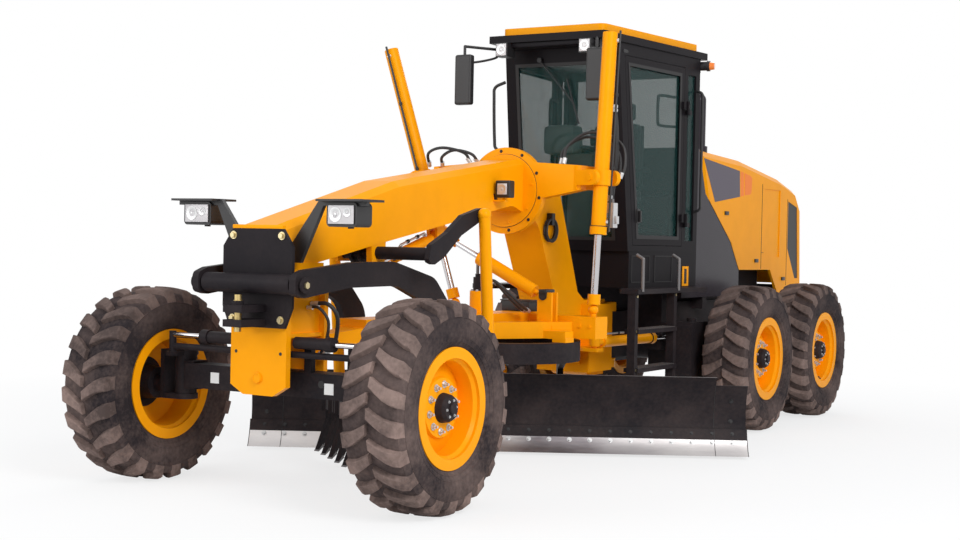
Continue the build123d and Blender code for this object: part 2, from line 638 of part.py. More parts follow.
def articulation_rams():
    for name, y in (("left", 1), ("right", -1)):
        base = (RAM_BASE[0], y * RAM_BASE[1], RAM_Z)
        tip = (RAM_EYE[0], y * RAM_EYE[1], RAM_Z)
        reach = (Vector(*tip) - Vector(*base)).length
        barrel, rod = ram(base, tip, (110, 1010, 45, 21 + PIN_GAP), (470, reach - 25, 21), (0, 0, 1),
                          (46, 22 + PIN_GAP, 60), (38, 12, 50))
        save(f"articulation_barrel_{name}", barrel)
        save(f"articulation_rod_{name}", rod)


# ---------------------------------------------------------------- scarifier
LEVER_Y = (585.0, 625.0)
LINK_Y = 660.0
LEVER_END = (TUBE[0] - 1715, 1846.0)
LINK_FOOT = (TUBE[0] - 1845, 500.0)
SCAR_RAM = ((TUBE[0] - 2105, 1690.0), (TUBE[0] - 1230, 1440.0))      # base and rod eye: (X, Z)


def scarifier():
    """Two curved arms, the V beam that they carry, its shanks and teeth."""
    x, z = TUBE
    arm_y = (365, 415)
    line = [(70, -60), (70, 60), (-20, 92), (-515, 140), (-985, 144), (-1475, 32), (-1735, -218),
            (-1795, -808), (-1795, -968), (-1435, -968), (-1435, -848), (-1595, -728), (-1605, -468),
            (-1415, -158), (-1015, -18), (-485, -23), (-20, -80)]
    bends = [40, 40, 60, 300, 300, 200, 200, 60, 0, 0, 0, 60, 120, 200, 300, 300, 60]
    arm = side([(x + dx, z + dz) for dx, dz in line], arm_y, bends)
    arm -= bar((x, 300, z), (x, 500, z), 34 + PIN_GAP)
    frame = pair(arm)
    back = x - 1815
    spread = [(back, 700), (back + 140, 700), (back + 710, 0), (back + 140, -700), (back, -700),
              (back + 550, 0)]
    frame += flat(spread, (400, 520))
    for count in range(-4, 5):
        y = count * 153.0
        front_x = back + 630 - abs(y) * 0.80
        shank = side([(front_x - 40, 540), (front_x + 50, 540), (front_x + 45, 330), (front_x + 170, 100),
                      (front_x + 110, 130), (front_x - 45, 330)], (y - 17, y + 17))
        socket = box((front_x - 62, front_x + 74), (y - 34, y + 34), (385, 535))
        frame += shank + socket
    for y in (-1, 1):
        foot = LINK_FOOT[0]
        lug = side([(foot - 50, 460), (foot + 90, 460), (foot + 90, 545), (foot - 50, 545)],
                   tuple(sorted((y * LEVER_Y[0], y * LEVER_Y[1]))), 30)
        frame += lug
    save("scarifier", frame)


def scarifier_lift():
    x, z = SHAFT
    shaft = bar((x, -LEVER_Y[1], z), (x, LEVER_Y[1], z), SHAFT_R)
    lever = side([(x + 70, z - 50), (x + 40, z + 62), (x - 160, z + 150), (x - 350, z + 270),
                  (LEVER_END[0] - 30, LEVER_END[1] + 50), (LEVER_END[0] - 50, LEVER_END[1] - 30),
                  (x - 330, z + 130), (x - 120, z - 20), (x, z - 70)], LEVER_Y, 25)
    tail = side([(x + 52, z + 40), (x + 52, z - 40), (SCAR_RAM[1][0] + 40, SCAR_RAM[1][1] - 20),
                 (SCAR_RAM[1][0] - 40, SCAR_RAM[1][1] - 20), (x - 52, z + 30)], (26, 48), 15)
    shaft += pair(lever) + pair(tail)
    save("scarifier_shaft", shaft)
    links = None
    for y in (-1, 1):
        top = (LEVER_END[0], y * LINK_Y, LEVER_END[1])
        foot = (LINK_FOOT[0], y * LINK_Y, LINK_FOOT[1])
        inner = y * (LEVER_Y[1] + GAP)
        link = bar(top, foot, 42) + Pos(*top) * Sphere(48)
        link -= box((4000, 6000), tuple(sorted((0, inner))), (0, 3000))
        links = link if links is None else links + link
    save("scarifier_links", links)
    base, tip = [(px, 0, pz) for px, pz in SCAR_RAM]
    reach = (Vector(*tip) - Vector(*base)).length
    barrel, rod = ram(base, tip, (80, 560, 40, 18 + PIN_GAP), (240, reach - 20, 18), (0, 1, 0),
                      (40, 18 + PIN_GAP, 44), (30, 12, 44))
    save("scarifier_barrel", barrel)
    save("scarifier_rod", rod)


def scarifier_brackets():
    """Shaft bearings and the cylinder's clevis, under the front frame."""
    x, z = SHAFT
    piece = None
    for y in (-1, 1):
        plate = side([(x - 75, z - 62), (x + 75, z - 62), (x + 90, 1700), (x - 90, 1700)],
                     tuple(sorted((y * 120, y * 165))))
        plate -= bar((x, y * 100, z), (x, y * 200, z), SHAFT_R + PIN_GAP)
        piece = plate if piece is None else piece + plate
        base = SCAR_RAM[0]
        piece += side([(base[0] - 45, base[1] - 40), (base[0] + 45, base[1] - 40), (base[0] + 60, 1850),
                       (base[0] - 60, 1850)], tuple(sorted((y * 26, y * 48))))
    piece += bar((SCAR_RAM[0][0], -48, SCAR_RAM[0][1]), (SCAR_RAM[0][0], 48, SCAR_RAM[0][1]), 18)
    return piece


# ---------------------------------------------------------------- rear frame, axle and body
RAIL_Y = (350.0, 430.0)
RAIL_FRAME_Z = (860.0, 1140.0)
HITCH_HOLE_R = 22.0           # hole of the rear drawbar plate


def rear_frame():
    """Two side rails with the steering rams' ears, and what joins them."""
    low, high = RAIL_FRAME_Z
    rails = pair(side([(-1980, low + 60), (-1700, low), (900, low), (1180, low - 150), (1230, low - 150),
                       (1230, high + 60), (900, high), (-1980, high)], RAIL_Y))
    eye_x, eye_y = RAM_EYE
    ear = flat([(eye_x - 70, RAIL_Y[0]), (eye_x - 70, eye_y + 45), (eye_x + 60, eye_y + 45),
                (eye_x + 70, RAIL_Y[0])], (RAM_Z - 55, RAM_Z - 25 - GAP), 20)
    rails += pair(ear)
    save("rear_rails", rails)
    inner = (HITCH_Z[0] + HITCH_LUG + 4, HITCH_Z[1] - HITCH_LUG - 4)
    frame = box((1150, HITCH_X), (-HITCH_R + 10, HITCH_R - 10), inner)
    frame += Pos(HITCH_X, 0, sum(inner) / 2) * Cylinder(HITCH_R - 10, inner[1] - inner[0])
    frame -= Pos(HITCH_X, 0, 0) * Cylinder(HITCH_PIN_R + PIN_GAP, 4000)
    frame += box((1130, 1230), (-RAIL_Y[1], RAIL_Y[1]), (low - 150, 1290 - GAP))
    for x in (-1900, -900, 300):
        frame += box((x - 50, x + 50), (-RAIL_Y[1], RAIL_Y[1]), (low + 60, low + 160))
    frame += box((450, 550), (-535, 535), (1070, 1180 - GAP))
    frame += box((-1840, -1780), (-545, 545), (high - 20, 1261.4))
    frame += box((-2080, -1960), (-520, 520), (low + 20, high + 60))
    frame += box((-2180, -2060), (-70, 70), (low + 60, low + 120))
    frame -= bar((-2130, 0, low), (-2130, 0, low + 300), HITCH_HOLE_R)
    save("rear_frame", frame - rails)


def rear_axle():
    case = side([(-TANDEM / 2 - 130, TYRE_R - 110), (-TANDEM / 2, TYRE_R - 170), (TANDEM / 2, TYRE_R - 170),
                 (TANDEM / 2 + 130, TYRE_R - 110), (TANDEM / 2 + 130, TYRE_R + 110), (TANDEM / 2, TYRE_R + 170),
                 (-TANDEM / 2, TYRE_R + 170), (-TANDEM / 2 - 130, TYRE_R + 110)], (600, 790), 60)
    for x in (-TANDEM / 2, TANDEM / 2):
        case += bar((x, 790, TYRE_R), (x, REAR_Y + SPINDLE_END, TYRE_R), SPINDLE_R)
        case += bar((x, 780, TYRE_R), (x, 850, TYRE_R), 120)
    axle = bar((0, -610, TYRE_R), (0, 610, TYRE_R), 125)
    axle += box((-170, 170), (-190, 190), (TYRE_R - 190, TYRE_R + 190))
    axle += pair(box((-160, 160), (RAIL_Y[0] - 20, RAIL_Y[1] + 20), (TYRE_R, RAIL_FRAME_Z[0])))
    save("rear_axle", axle + pair(case))


def engine():
    save("engine", box((-1450, 150), (-300, 300), (RAIL_FRAME_Z[0] + 160 + GAP, 1950)))


HOOD_HALF = 550.0
HOOD_LINE = (
    # X, Z of the hood's side, from the front top backward
    (720.0, 2555.0), (-350.0, 2508.0), (-1450.0, 2372.0), (-1900.0, 2270.0), (-2010.0, 2150.0),
    (-2070.0, 1275.0), (-1740.0, 1260.0), (-1640.0, 1150.0), (-1420.0, 1150.0), (-1160.0, 1425.0),
    (-310.0, 1430.0), (-85.0, 1700.0), (560.0, 2150.0),
)
GRILLE_LINE = ((-1660.0, 2150.0), (-1940.0, 2090.0), (-2000.0, 1330.0), (-1900.0, 1330.0), (-1660.0, 1650.0))
HOOD_WALL = 28.0
RECESS = 10.0


def hood():
    shell = side(HOOD_LINE, (-HOOD_HALF, HOOD_HALF))
    tops = [e for e in shell.edges() if abs(abs(e.center().Y) - HOOD_HALF) < 1 and e.center().Z > 2190]
    shell = chamfer(tops, 60)
    inner = [(900, 2555 - 90), (-350, 2508 - 90), (-1450, 2372 - 90), (-1880, 2180), (-1960, 2100),
             (-2030, 1000), (900, 1000)]
    shell -= side(inner, (HOOD_WALL - HOOD_HALF, HOOD_HALF - HOOD_WALL))
    shell -= side(GRILLE_LINE, (-900, 900))
    recess = box((-1419, -965), (HOOD_HALF - RECESS, HOOD_HALF + 10), (1557, 2254))
    shell -= recess + right(recess)
    shell -= box((-2200, -1900), (-440, 440), (1400, 2080))
    save("hood", shell)
    grille = side([(x, z) for x, z in GRILLE_LINE], (HOOD_HALF - 24, HOOD_HALF - 6))
    slats = None
    for count in range(8):
        z = 1400 + 86 * count
        slat = box((-1985 + 6, -1960 + 6), (-440, 440), (z, z + 62))
        slats = slat if slats is None else slats + slat
    frame = box((-1990, -1966), (-440, 440), (1400, 2080)) - box((-2200, -1900), (-400, 400), (1430, 2050))
    save("grille", pair(grille), frame + slats)


def shroud():
    """Dark cowl between cab and hood, with the air stack on top."""
    line = [(x + 0.45, z) for x, z in (HOOD_LINE[0], HOOD_LINE[12], HOOD_LINE[11], HOOD_LINE[10])]
    line += [(-309.5, 1180), (CAB_REAR - GAP, 1180), (CAB_REAR - GAP, 2550)]
    cowl = side(line, (4 - HOOD_HALF, HOOD_HALF - 4))
    cowl -= side([(900, 2500), (640, 2500), (480, 2130), (-160, 1680), (-400, 1420), (-400, 1000), (940, 1000),
                  (940, 2500)], (-HOOD_HALF + 40, HOOD_HALF - 40))
    slope = (HOOD_LINE[0][1] - HOOD_LINE[1][1]) / (HOOD_LINE[0][0] - HOOD_LINE[1][0])
    foot = (420, 400, HOOD_LINE[0][1] + slope * (420 - HOOD_LINE[0][0]) + GAP)
    stack = extrude(Plane(origin=foot, z_dir=(-slope, 0, 1)) * Circle(86), 60)
    stack += bar((420, 400, foot[2] + 20), (420, 400, 3040), 66) + Pos(420, 400, 3040) * Sphere(66)
    save("shroud", cowl, stack)


def tanks():
    tank = box((1010, 1400), (620, 800), (470, 980))
    tank = fillet(tank.edges().filter_by(Axis.Y), 70)
    tank += box((1130, 1230), (RAIL_Y[1] + GAP, 640), (900, 960))
    return pair(tank)


# ---------------------------------------------------------------- cab
def cab_prism(inset):
    """Cab's volume, inset from its outside: narrower in front, windscreen leaning forward."""
    low, high = CAB_Z
    plan = [(CAB_REAR + inset, 680 - inset), (CAB_FRONT + 50 - inset, 545 - inset - 5),
            (CAB_FRONT + 50 - inset, inset + 5 - 545), (CAB_REAR + inset, inset - 680)]
    body = flat(plan, (low + inset, high - inset))
    lean = (CAB_FRONT - 2235) / (high - low)
    cut = side([(CAB_REAR - 10, low - 10), (2235 - inset - lean * 10, low - 10),
                (CAB_FRONT - inset + lean * 10, high + 10), (CAB_REAR - 10, high + 10)], (-900, 900))
    return body & cut


DOOR = (1330.0, 2290.0)       # along X
DOOR_Z = (1650.0, 3240.0)
WINDOW = (1700.0, 3180.0)
HINGES = (1900.0, 2900.0)


def cab():
    walls = cab_prism(0) - cab_prism(CAB_WALL)
    door_space = side(door_line(0), (400, 900))
    screens = [
        box((2000, 2700), (-440, 440), WINDOW),
        box((900, 1200), (-560, 560), (2150, 3180)),
    ]
    quarter = box((1130, 1270), (500, 900), WINDOW)
    glass_skin = cab_prism(20) - cab_prism(28)
    frame = walls
    glass = None
    for space in screens + [quarter, right(quarter)]:
        frame -= space
        pane = glass_skin & space
        glass = pane if glass is None else glass + pane
    for door_box in (door_space, right(door_space)):
        frame -= door_box
    doors = walls & side(door_line(4), (400, 900))
    light = side(door_line(65), (400, 900))
    leaf = doors - light
    pane = glass_skin & light
    hinge_x = DOOR[0] - 12
    hinge_y = door_plane(hinge_x) + 30
    for z in HINGES:
        leaf += bar((hinge_x, hinge_y, z - 40), (hinge_x, hinge_y, z + 40), 14)
        leaf += box((hinge_x, DOOR[0] + 60), (hinge_y - 22, hinge_y - 6), (z - 30, z + 30))
        leaf += box((DOOR[0] + 12, DOOR[0] + 60), (hinge_y - 55, hinge_y - 6), (z - 30, z + 30))
    save("door_left", leaf)
    save("door_right", right(leaf))
    save("door_glass_left", pane)
    save("door_glass_right", right(pane))
    base = flat([(CAB_REAR, 680), (2200, 560), (2200, -560), (CAB_REAR, -680)], (1290, 1600))
    for z in HINGES:
        lug = box((hinge_x - 60, hinge_x), (hinge_y - 38, hinge_y + 12), (z - 80, z - 40 - GAP))
        frame += pair(lug + bar((hinge_x, hinge_y, z - 80), (hinge_x, hinge_y, z - 40 - GAP), 16))
    save("cab_frame", frame + base)
    save("cab_glass", glass)
    band = flat([(960, 705), (2500, 560), (2720, 545), (2720, -545), (2500, -560), (960, -705)],
                (CAB_Z[1], CAB_Z[1] + 62))
    roof = flat([(1000, 640), (2606, 482), (2606, -482), (1000, -640)], (CAB_Z[1] + 62, ROOF_Z), 60)
    save("cab_roof", band + roof)


def door_line(inset):
    """Door's outline, its front edge leaning with the windscreen."""
    low, high = DOOR_Z[0] + inset, DOOR_Z[1] - inset
    return [(DOOR[0] + inset, low), (DOOR[1] - 130 - inset, low), (DOOR[1] + 60 - inset, high), (DOOR[0] + inset, high)]


def door_plane(x):
    """Y of the cab's left side at a given X."""
    return 680 + (545 - 5 - 680) * (x - CAB_REAR) / (CAB_FRONT + 50 - CAB_REAR)


def interior():
    floor = CAB_Z[0] + CAB_WALL
    seat = box((1250, 1720), (-250, 250), (floor + 380, floor + 500))
    seat += side([(1250, floor + 400), (1360, floor + 400), (1250, floor + 1150), (1150, floor + 1150)],
                 (-240, 240), 30)
    seat += box((1350, 1650), (-150, 150), (floor, floor + 390))
    save("seat", seat)
    column = side([(1950, floor), (2080, floor), (2060, floor + 500), (1930, floor + 700), (1860, floor + 700)],
                  (-110, 110), 20)
    wheel = Pos(1850, 0, floor + 760) * Rot(0, -30, 0) * (Torus(180, 16) + Cylinder(22, 40) + Box(350, 26, 14)
                                                         + Box(26, 350, 14))
    column += bar((1900, 0, floor + 640), (1850, 0, floor + 760), 24)
    save("console", column + wheel)


def platform():
    low = 520
    steps = None
    for x in (1660, 2430):
        post = box((x, x + 60), (700, 770), (low, 1290))
        steps = post if steps is None else steps + post
    for z in (600, 920):
        steps += box((1690, 2460), (660, 790), (z, z + 35))
    steps += flat([(1080, 560), (2360, 560), (2500, 640), (2500, 800), (1080, 800)], (1250, 1290))
    for x in (1700, 2420):
        rail = bar((x, 800, 1270), (x, 800, 1540), 14) + bar((x, 800, 1540), (x, 740, 1575), 14)
        steps += rail + Pos(x, 800, 1540) * Sphere(14)
    save("platform", pair(steps) + tanks())


def fittings():
    """Mirrors on tube arms, work lamps under the visor, rear lamps and beacon."""
    mirror_x, mirror_y = 2990, 620
    arm = bar((2640, 450, 3290), (mirror_x, mirror_y, 3290), 12) + bar((mirror_x, mirror_y, 3290),
                                                                       (mirror_x, mirror_y, 3200), 12)
    arm += Pos(mirror_x, mirror_y, 3290) * Sphere(12)
    arm += box((2620, 2660), (420, 480), (3270, 3340))
    glass = fillet(box((mirror_x - 35, mirror_x + 35), (mirror_y - 80, mirror_y + 80), (2800, 3220)).edges(), 20)
    lamp = box((2640, 2770), (340, 450), (3220, 3335))
    rear = box((960, CAB_REAR - GAP), (560, 640), (3230, 3335))
    save("mirrors_and_lamps", pair(arm + glass), pair(lamp - box((2630, 2665), (410, 490), (3200, 3340))),
         pair(rear))


def main():
    wheels()
    front_axle()
    steering()
    front_frame()
    head()
    headlamps()
    drawbar()
    circle()
    blade()
    lift_rams()
    shift_ram()
    tip_ram()
    articulation_rams()
    scarifier()
    scarifier_lift()
    rear_frame()
    rear_axle()
    engine()
    hood()
    shroud()
    cab()
    interior()
    platform()
    fittings()


main()
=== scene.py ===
"""Looks of the motor grader: finishes, tyres, lamps, hoses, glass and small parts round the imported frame."""
import math

import bmesh
import bpy
from mathutils import Matrix, Vector


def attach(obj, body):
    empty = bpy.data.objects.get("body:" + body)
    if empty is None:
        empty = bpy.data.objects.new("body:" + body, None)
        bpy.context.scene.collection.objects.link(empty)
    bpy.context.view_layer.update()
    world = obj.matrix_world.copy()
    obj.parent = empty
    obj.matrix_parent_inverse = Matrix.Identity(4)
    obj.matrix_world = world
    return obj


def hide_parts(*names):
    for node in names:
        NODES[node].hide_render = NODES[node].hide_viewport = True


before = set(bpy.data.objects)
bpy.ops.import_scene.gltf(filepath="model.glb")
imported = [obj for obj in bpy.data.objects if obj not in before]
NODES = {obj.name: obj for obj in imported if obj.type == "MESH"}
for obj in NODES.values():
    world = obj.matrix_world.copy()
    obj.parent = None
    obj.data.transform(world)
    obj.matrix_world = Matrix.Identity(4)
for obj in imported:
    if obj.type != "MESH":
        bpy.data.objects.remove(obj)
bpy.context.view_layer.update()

bl_info = {
    "name": "Motor grader looks",
    "version": (1, 0, 0),
    "blender": (4, 5, 0),
    "location": "View3D > Sidebar > Grader",
    "description": "Dresses the packed motor grader: tyres, paint, glass, lamps, hoses and fastenings",
    "category": "Object",
}

# Shapes are drawn in the machine's own frame: metres, X forward, Y left, origin under the tandem's middle.
ORIGIN = Vector((2.292, 0.116, 0))
HOME = Matrix.Translation(-ORIGIN)
STILL = Matrix.Identity(4)


# ---------------------------------------------------------------- settings
def length(name, description, default):
    return bpy.props.FloatProperty(name=name, description=description, default=default, unit="LENGTH")


def tint(name, description, default):
    return bpy.props.FloatVectorProperty(
        name=name, description=description, default=default, size=3, min=0, max=1, subtype="COLOR")


class GraderSizes(bpy.types.PropertyGroup):
    """Sizes of the pieces that are not solids of the frame."""
    tyre_radius: length("Tyre radius", "Over the tips of the lugs", 0.654)
    lug_height: length("Lug height", "Of a tyre's lug above the carcass", 0.036)
    lug_count: bpy.props.IntProperty(
        name="Lugs a side", description="Lugs on each half of a tyre", default=22, min=12, max=40)
    bolt_head: length("Bolt head", "Radius of a hexagon head", 0.015)
    hose: length("Hose", "Radius of a hydraulic hose", 0.012)


class GraderColours(bpy.types.PropertyGroup):
    """Colours of the finishes, linear."""
    paint: tint("Paint", "Body paint", (0.95, 0.355, 0.001))
    dark: tint("Dark paint", "Cab, axle and blade paint", (0.016, 0.0135, 0.016))
    dust: tint("Dust", "Dry earth on the lower parts", (0.26, 0.185, 0.16))
    glass: tint("Glass", "Tint of the cab's glass", (0.014, 0.050, 0.046))
    stripe: tint("Stripe", "Accent stripes on the hood", (0.90, 0.20, 0.004))


def settings():
    scene = bpy.context.scene
    return scene.grader_sizes, scene.grader_colours


# ---------------------------------------------------------------- materials
class Val:
    """A socket of a node tree; arithmetic on it adds Math nodes."""

    def __init__(self, tree, socket):
        self.tree, self.socket = tree, socket

    def _math(self, operation, *values):
        return self.tree.value("ShaderNodeMath", {"operation": operation}, dict(enumerate(values)))

    def __add__(self, other):
        return self._math("ADD", self, other)

    def __sub__(self, other):
        return self._math("SUBTRACT", self, other)

    def __rsub__(self, other):
        return self._math("SUBTRACT", other, self)

    def __mul__(self, other):
        return self._math("MULTIPLY", self, other)

    def __truediv__(self, other):
        return self._math("DIVIDE", self, other)

    def __pow__(self, other):
        return self._math("POWER", self, other)

    def clamp(self):
        return self._math("MINIMUM", self._math("MAXIMUM", self, 0.0), 1.0)

    def above(self, edge, soft):
        """0 below edge, 1 above edge + soft."""
        return ((self - edge) / soft).clamp()


class Tree:
    """A node tree being built."""

    def __init__(self, tree):
        self.tree = tree

    def node(self, kind, settings=None, values=None):
        """Add a node, its settings first, then its sockets' values or links."""
        node = self.tree.nodes.new(kind)
        for key, value in (settings or {}).items():
            setattr(node, key, value)
        for key, value in (values or {}).items():
            self.put(node.inputs[key], value)
        return node

    def value(self, kind, settings=None, values=None, output=0):
        """Output of a new node."""
        return Val(self, self.node(kind, settings, values).outputs[output])

    def put(self, socket, value):
        if isinstance(value, Val):
            self.tree.links.new(value.socket, socket)
        elif hasattr(value, "__len__") and len(value) == 3 and socket.type == "RGBA":
            socket.default_value = (*value, 1)
        else:
            socket.default_value = value

    def rays(self, *kinds):
        """1 for a ray of any of these kinds, else 0."""
        path = self.node("ShaderNodeLightPath")
        share = Val(self, path.outputs[kinds[0]])
        for kind in kinds[1:]:
            share = share + Val(self, path.outputs[kind])
        return share.clamp()

    def output(self, kind, surface):
        """Link a surface to the tree's output node."""
        out = next(n for n in self.tree.nodes if n.type == kind)
        self.put(out.inputs["Surface"], surface)


class Finish(Tree):
    """A material being built."""

    def __init__(self, name, **constants):
        self.material = bpy.data.materials.new(name)
        self.material.use_nodes = True
        super().__init__(self.material.node_tree)
        self.shader = self.tree.nodes["Principled BSDF"]
        self.set(**constants)
        self.coords = self.value("ShaderNodeTexCoord", output="Object")

    def axis(self, which):
        return self.value("ShaderNodeSeparateXYZ", None, {0: self.coords}, which)

    def noise(self, scale, detail=4.0, rough=0.6, stretch=None):
        coords = self.coords
        if stretch:
            coords = self.value("ShaderNodeMapping", None, {"Vector": coords, "Scale": stretch})
        return self.value("ShaderNodeTexNoise", None, {"Vector": coords, "Scale": scale, "Detail": detail,
                                                       "Roughness": rough})

    def mix(self, factor, first, second):
        return self.value("ShaderNodeMix", {"data_type": "RGBA"}, {0: factor, 6: first, 7: second}, 2)

    def set(self, **sockets):
        """Set or link sockets of the shader, an underscore for each space of their names."""
        for key, value in sockets.items():
            self.put(self.shader.inputs[key.replace("_", " ")], value)
        return self.material


def painted(name, colour, dust_colour, low_dust, dust, roughness, coat=0.0, shine=0.07):
    """Paint with dry dust that thickens towards the ground."""
    finish = Finish(name, Specular_IOR_Level=shine, Coat_Weight=coat, Coat_Roughness=0.25)
    height = finish.axis("Z")
    patches = finish.noise(2.4, 6.0)
    fine = finish.noise(38.0, 3.0)
    low = (1 - height.above(low_dust * 0.35, low_dust)) * dust * 2.2
    amount = ((patches * 0.75 + fine * 0.25).above(0.38, 0.34) * (low + dust * 0.28)).clamp()
    shade = finish.mix(finish.noise(6.0, 3.0), [c * 0.93 for c in colour], [min(1, c * 1.05) for c in colour])
    return finish.set(Base_Color=finish.mix(amount, shade, dust_colour),
                      Roughness=(amount * 0.4 + roughness).clamp())


def worn_steel():
    """Cutting edge: bright where it rubs, dull and darker in broad patches."""
    finish = Finish("worn_steel", Metallic=0.9)
    worn = finish.noise(5.0, 8.0, stretch=(1.0, 1.0, 6.0))
    bright = (finish.noise(0.75, 1.0).above(0.44, 0.16) * 0.8 + worn * 0.3).clamp()
    return finish.set(Base_Color=finish.mix(bright, (0.15, 0.13, 0.145), (0.72, 0.69, 0.68)),
                      Roughness=(worn * 0.3 + 0.22).clamp())


PLAIN_FINISHES = {
    # finish: material, colour, roughness, metallic, more constants
    "shadow": ("black_seams", (0.010, 0.009, 0.010), 0.6, 0, {}),
    "mesh": ("grille_mesh", (0.016, 0.015, 0.017), 0.55, 0, {}),
    "decal": ("decal_film", (0.082, 0.068, 0.092), 0.4, 0, {"Specular_IOR_Level": 0.25}),
    "brass": ("plated_pin", (0.62, 0.47, 0.20), 0.34, 0.9, {}),
    "worn": ("worn_paint", (0.16, 0.15, 0.15), 0.45, 0.5, {}),
    "console_cover": ("console_cover", (0.22, 0.28, 0.25), 0.5, 0, {}),
    "hose": ("hose_rubber", (0.012, 0.011, 0.012), 0.5, 0, {}),
    "plastic": ("black_plastic", (0.012, 0.011, 0.012), 0.45, 0, {}),
    "grey": ("grey_moulding", (0.20, 0.215, 0.19), 0.6, 0, {}),
    "cloth": ("seat_cloth", (0.03, 0.03, 0.033), 0.9, 0, {"Sheen_Weight": 0.3}),
    "rod": ("polished_rod", (0.56, 0.54, 0.55), 0.16, 1, {}),
    "zinc": ("zinc_bolts", (0.62, 0.52, 0.30), 0.35, 0.9, {}),
    "silver": ("silver_paint", (0.58, 0.58, 0.58), 0.35, 0.7, {}),
    "lens": ("lamp_lens", (0.60, 0.57, 0.57), 0.12, 0, {"Coat_Weight": 0.3}),
    "amber": ("amber_lens", (0.95, 0.22, 0.01), 0.15, 0, {"Coat_Weight": 0.5}),
    "red": ("red_lens", (0.55, 0.01, 0.01), 0.15, 0, {"Coat_Weight": 0.5}),
    "mirror": ("mirror_glass", (0.85, 0.87, 0.88), 0.03, 1, {}),
    "white": ("blank_plate", (0.80, 0.80, 0.78), 0.5, 0, {}),
}


def make_finishes(colours):
    """All finishes by name."""
    paint, dark, dust = tuple(colours.paint), tuple(colours.dark), tuple(colours.dust)
    made = {
        "yellow": painted("yellow_paint", paint, dust, 1.2, 0.015, 0.36, coat=0.02),
        "dark": painted("dark_paint", dark, dust, 1.4, 0.06, 0.46),
        "cab": painted("cab_paint", [c * 0.7 for c in dark], dust, 1.0, 0.01, 0.38),
        "cowl": painted("cowl_moulding", (0.026, 0.021, 0.028), dust, 1.0, 0.02, 0.24, coat=0.03, shine=0.12),
        "rubber": painted("tyre_rubber", (0.026, 0.021, 0.023), dust, 1.6, 0.26, 0.80),
        "tread": painted("tyre_tread", (0.075, 0.055, 0.050), dust, 1.6, 0.60, 0.86),
        "steel": worn_steel(),
        "glass": Finish("tinted_glass", Base_Color=tuple(colours.glass), Roughness=0.04, Alpha=0.42,
                        Specular_IOR_Level=0.3).material,
        "stripe": Finish("stripe_film", Base_Color=tuple(colours.stripe), Roughness=0.4,
                         Specular_IOR_Level=0.25).material,
    }
    for name, (material, colour, roughness, metallic, more) in PLAIN_FINISHES.items():
        constants = {"Base_Color": colour, "Roughness": roughness, "Metallic": metallic, **more}
        made[name] = Finish(material, **constants).material
    return made


FINISH = {}


# ---------------------------------------------------------------- meshes
def dress(name, body, *parts, replaces=(), slot=None, smooth=35):
    """Object from shapes, or (mesh, matrix) pairs, drawn in the machine's frame; it rides on a body."""
    pairs = [(part.mesh(name), HOME) if isinstance(part, Shape) else (part[0], HOME @ part[1])
             for part in parts]
    mesh = joined(pairs, name)
    piece = bpy.data.objects.new(name, mesh)
    bpy.context.scene.collection.objects.link(piece)
    mesh.shade_smooth()
    mesh.set_sharp_from_angle(angle=math.radians(smooth))
    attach(piece, body)
    if replaces:
        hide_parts(*replaces)
    return piece


def facing(point, outward):
    """Frame at a point: Z outward, Y as near up as it goes."""
    out = Vector(outward).normalized()
    across = Vector((0, 0, 1)).cross(out).normalized()
    turn = Matrix((across, out.cross(across), out)).transposed().to_4x4()
    return Matrix.Translation(point) @ turn


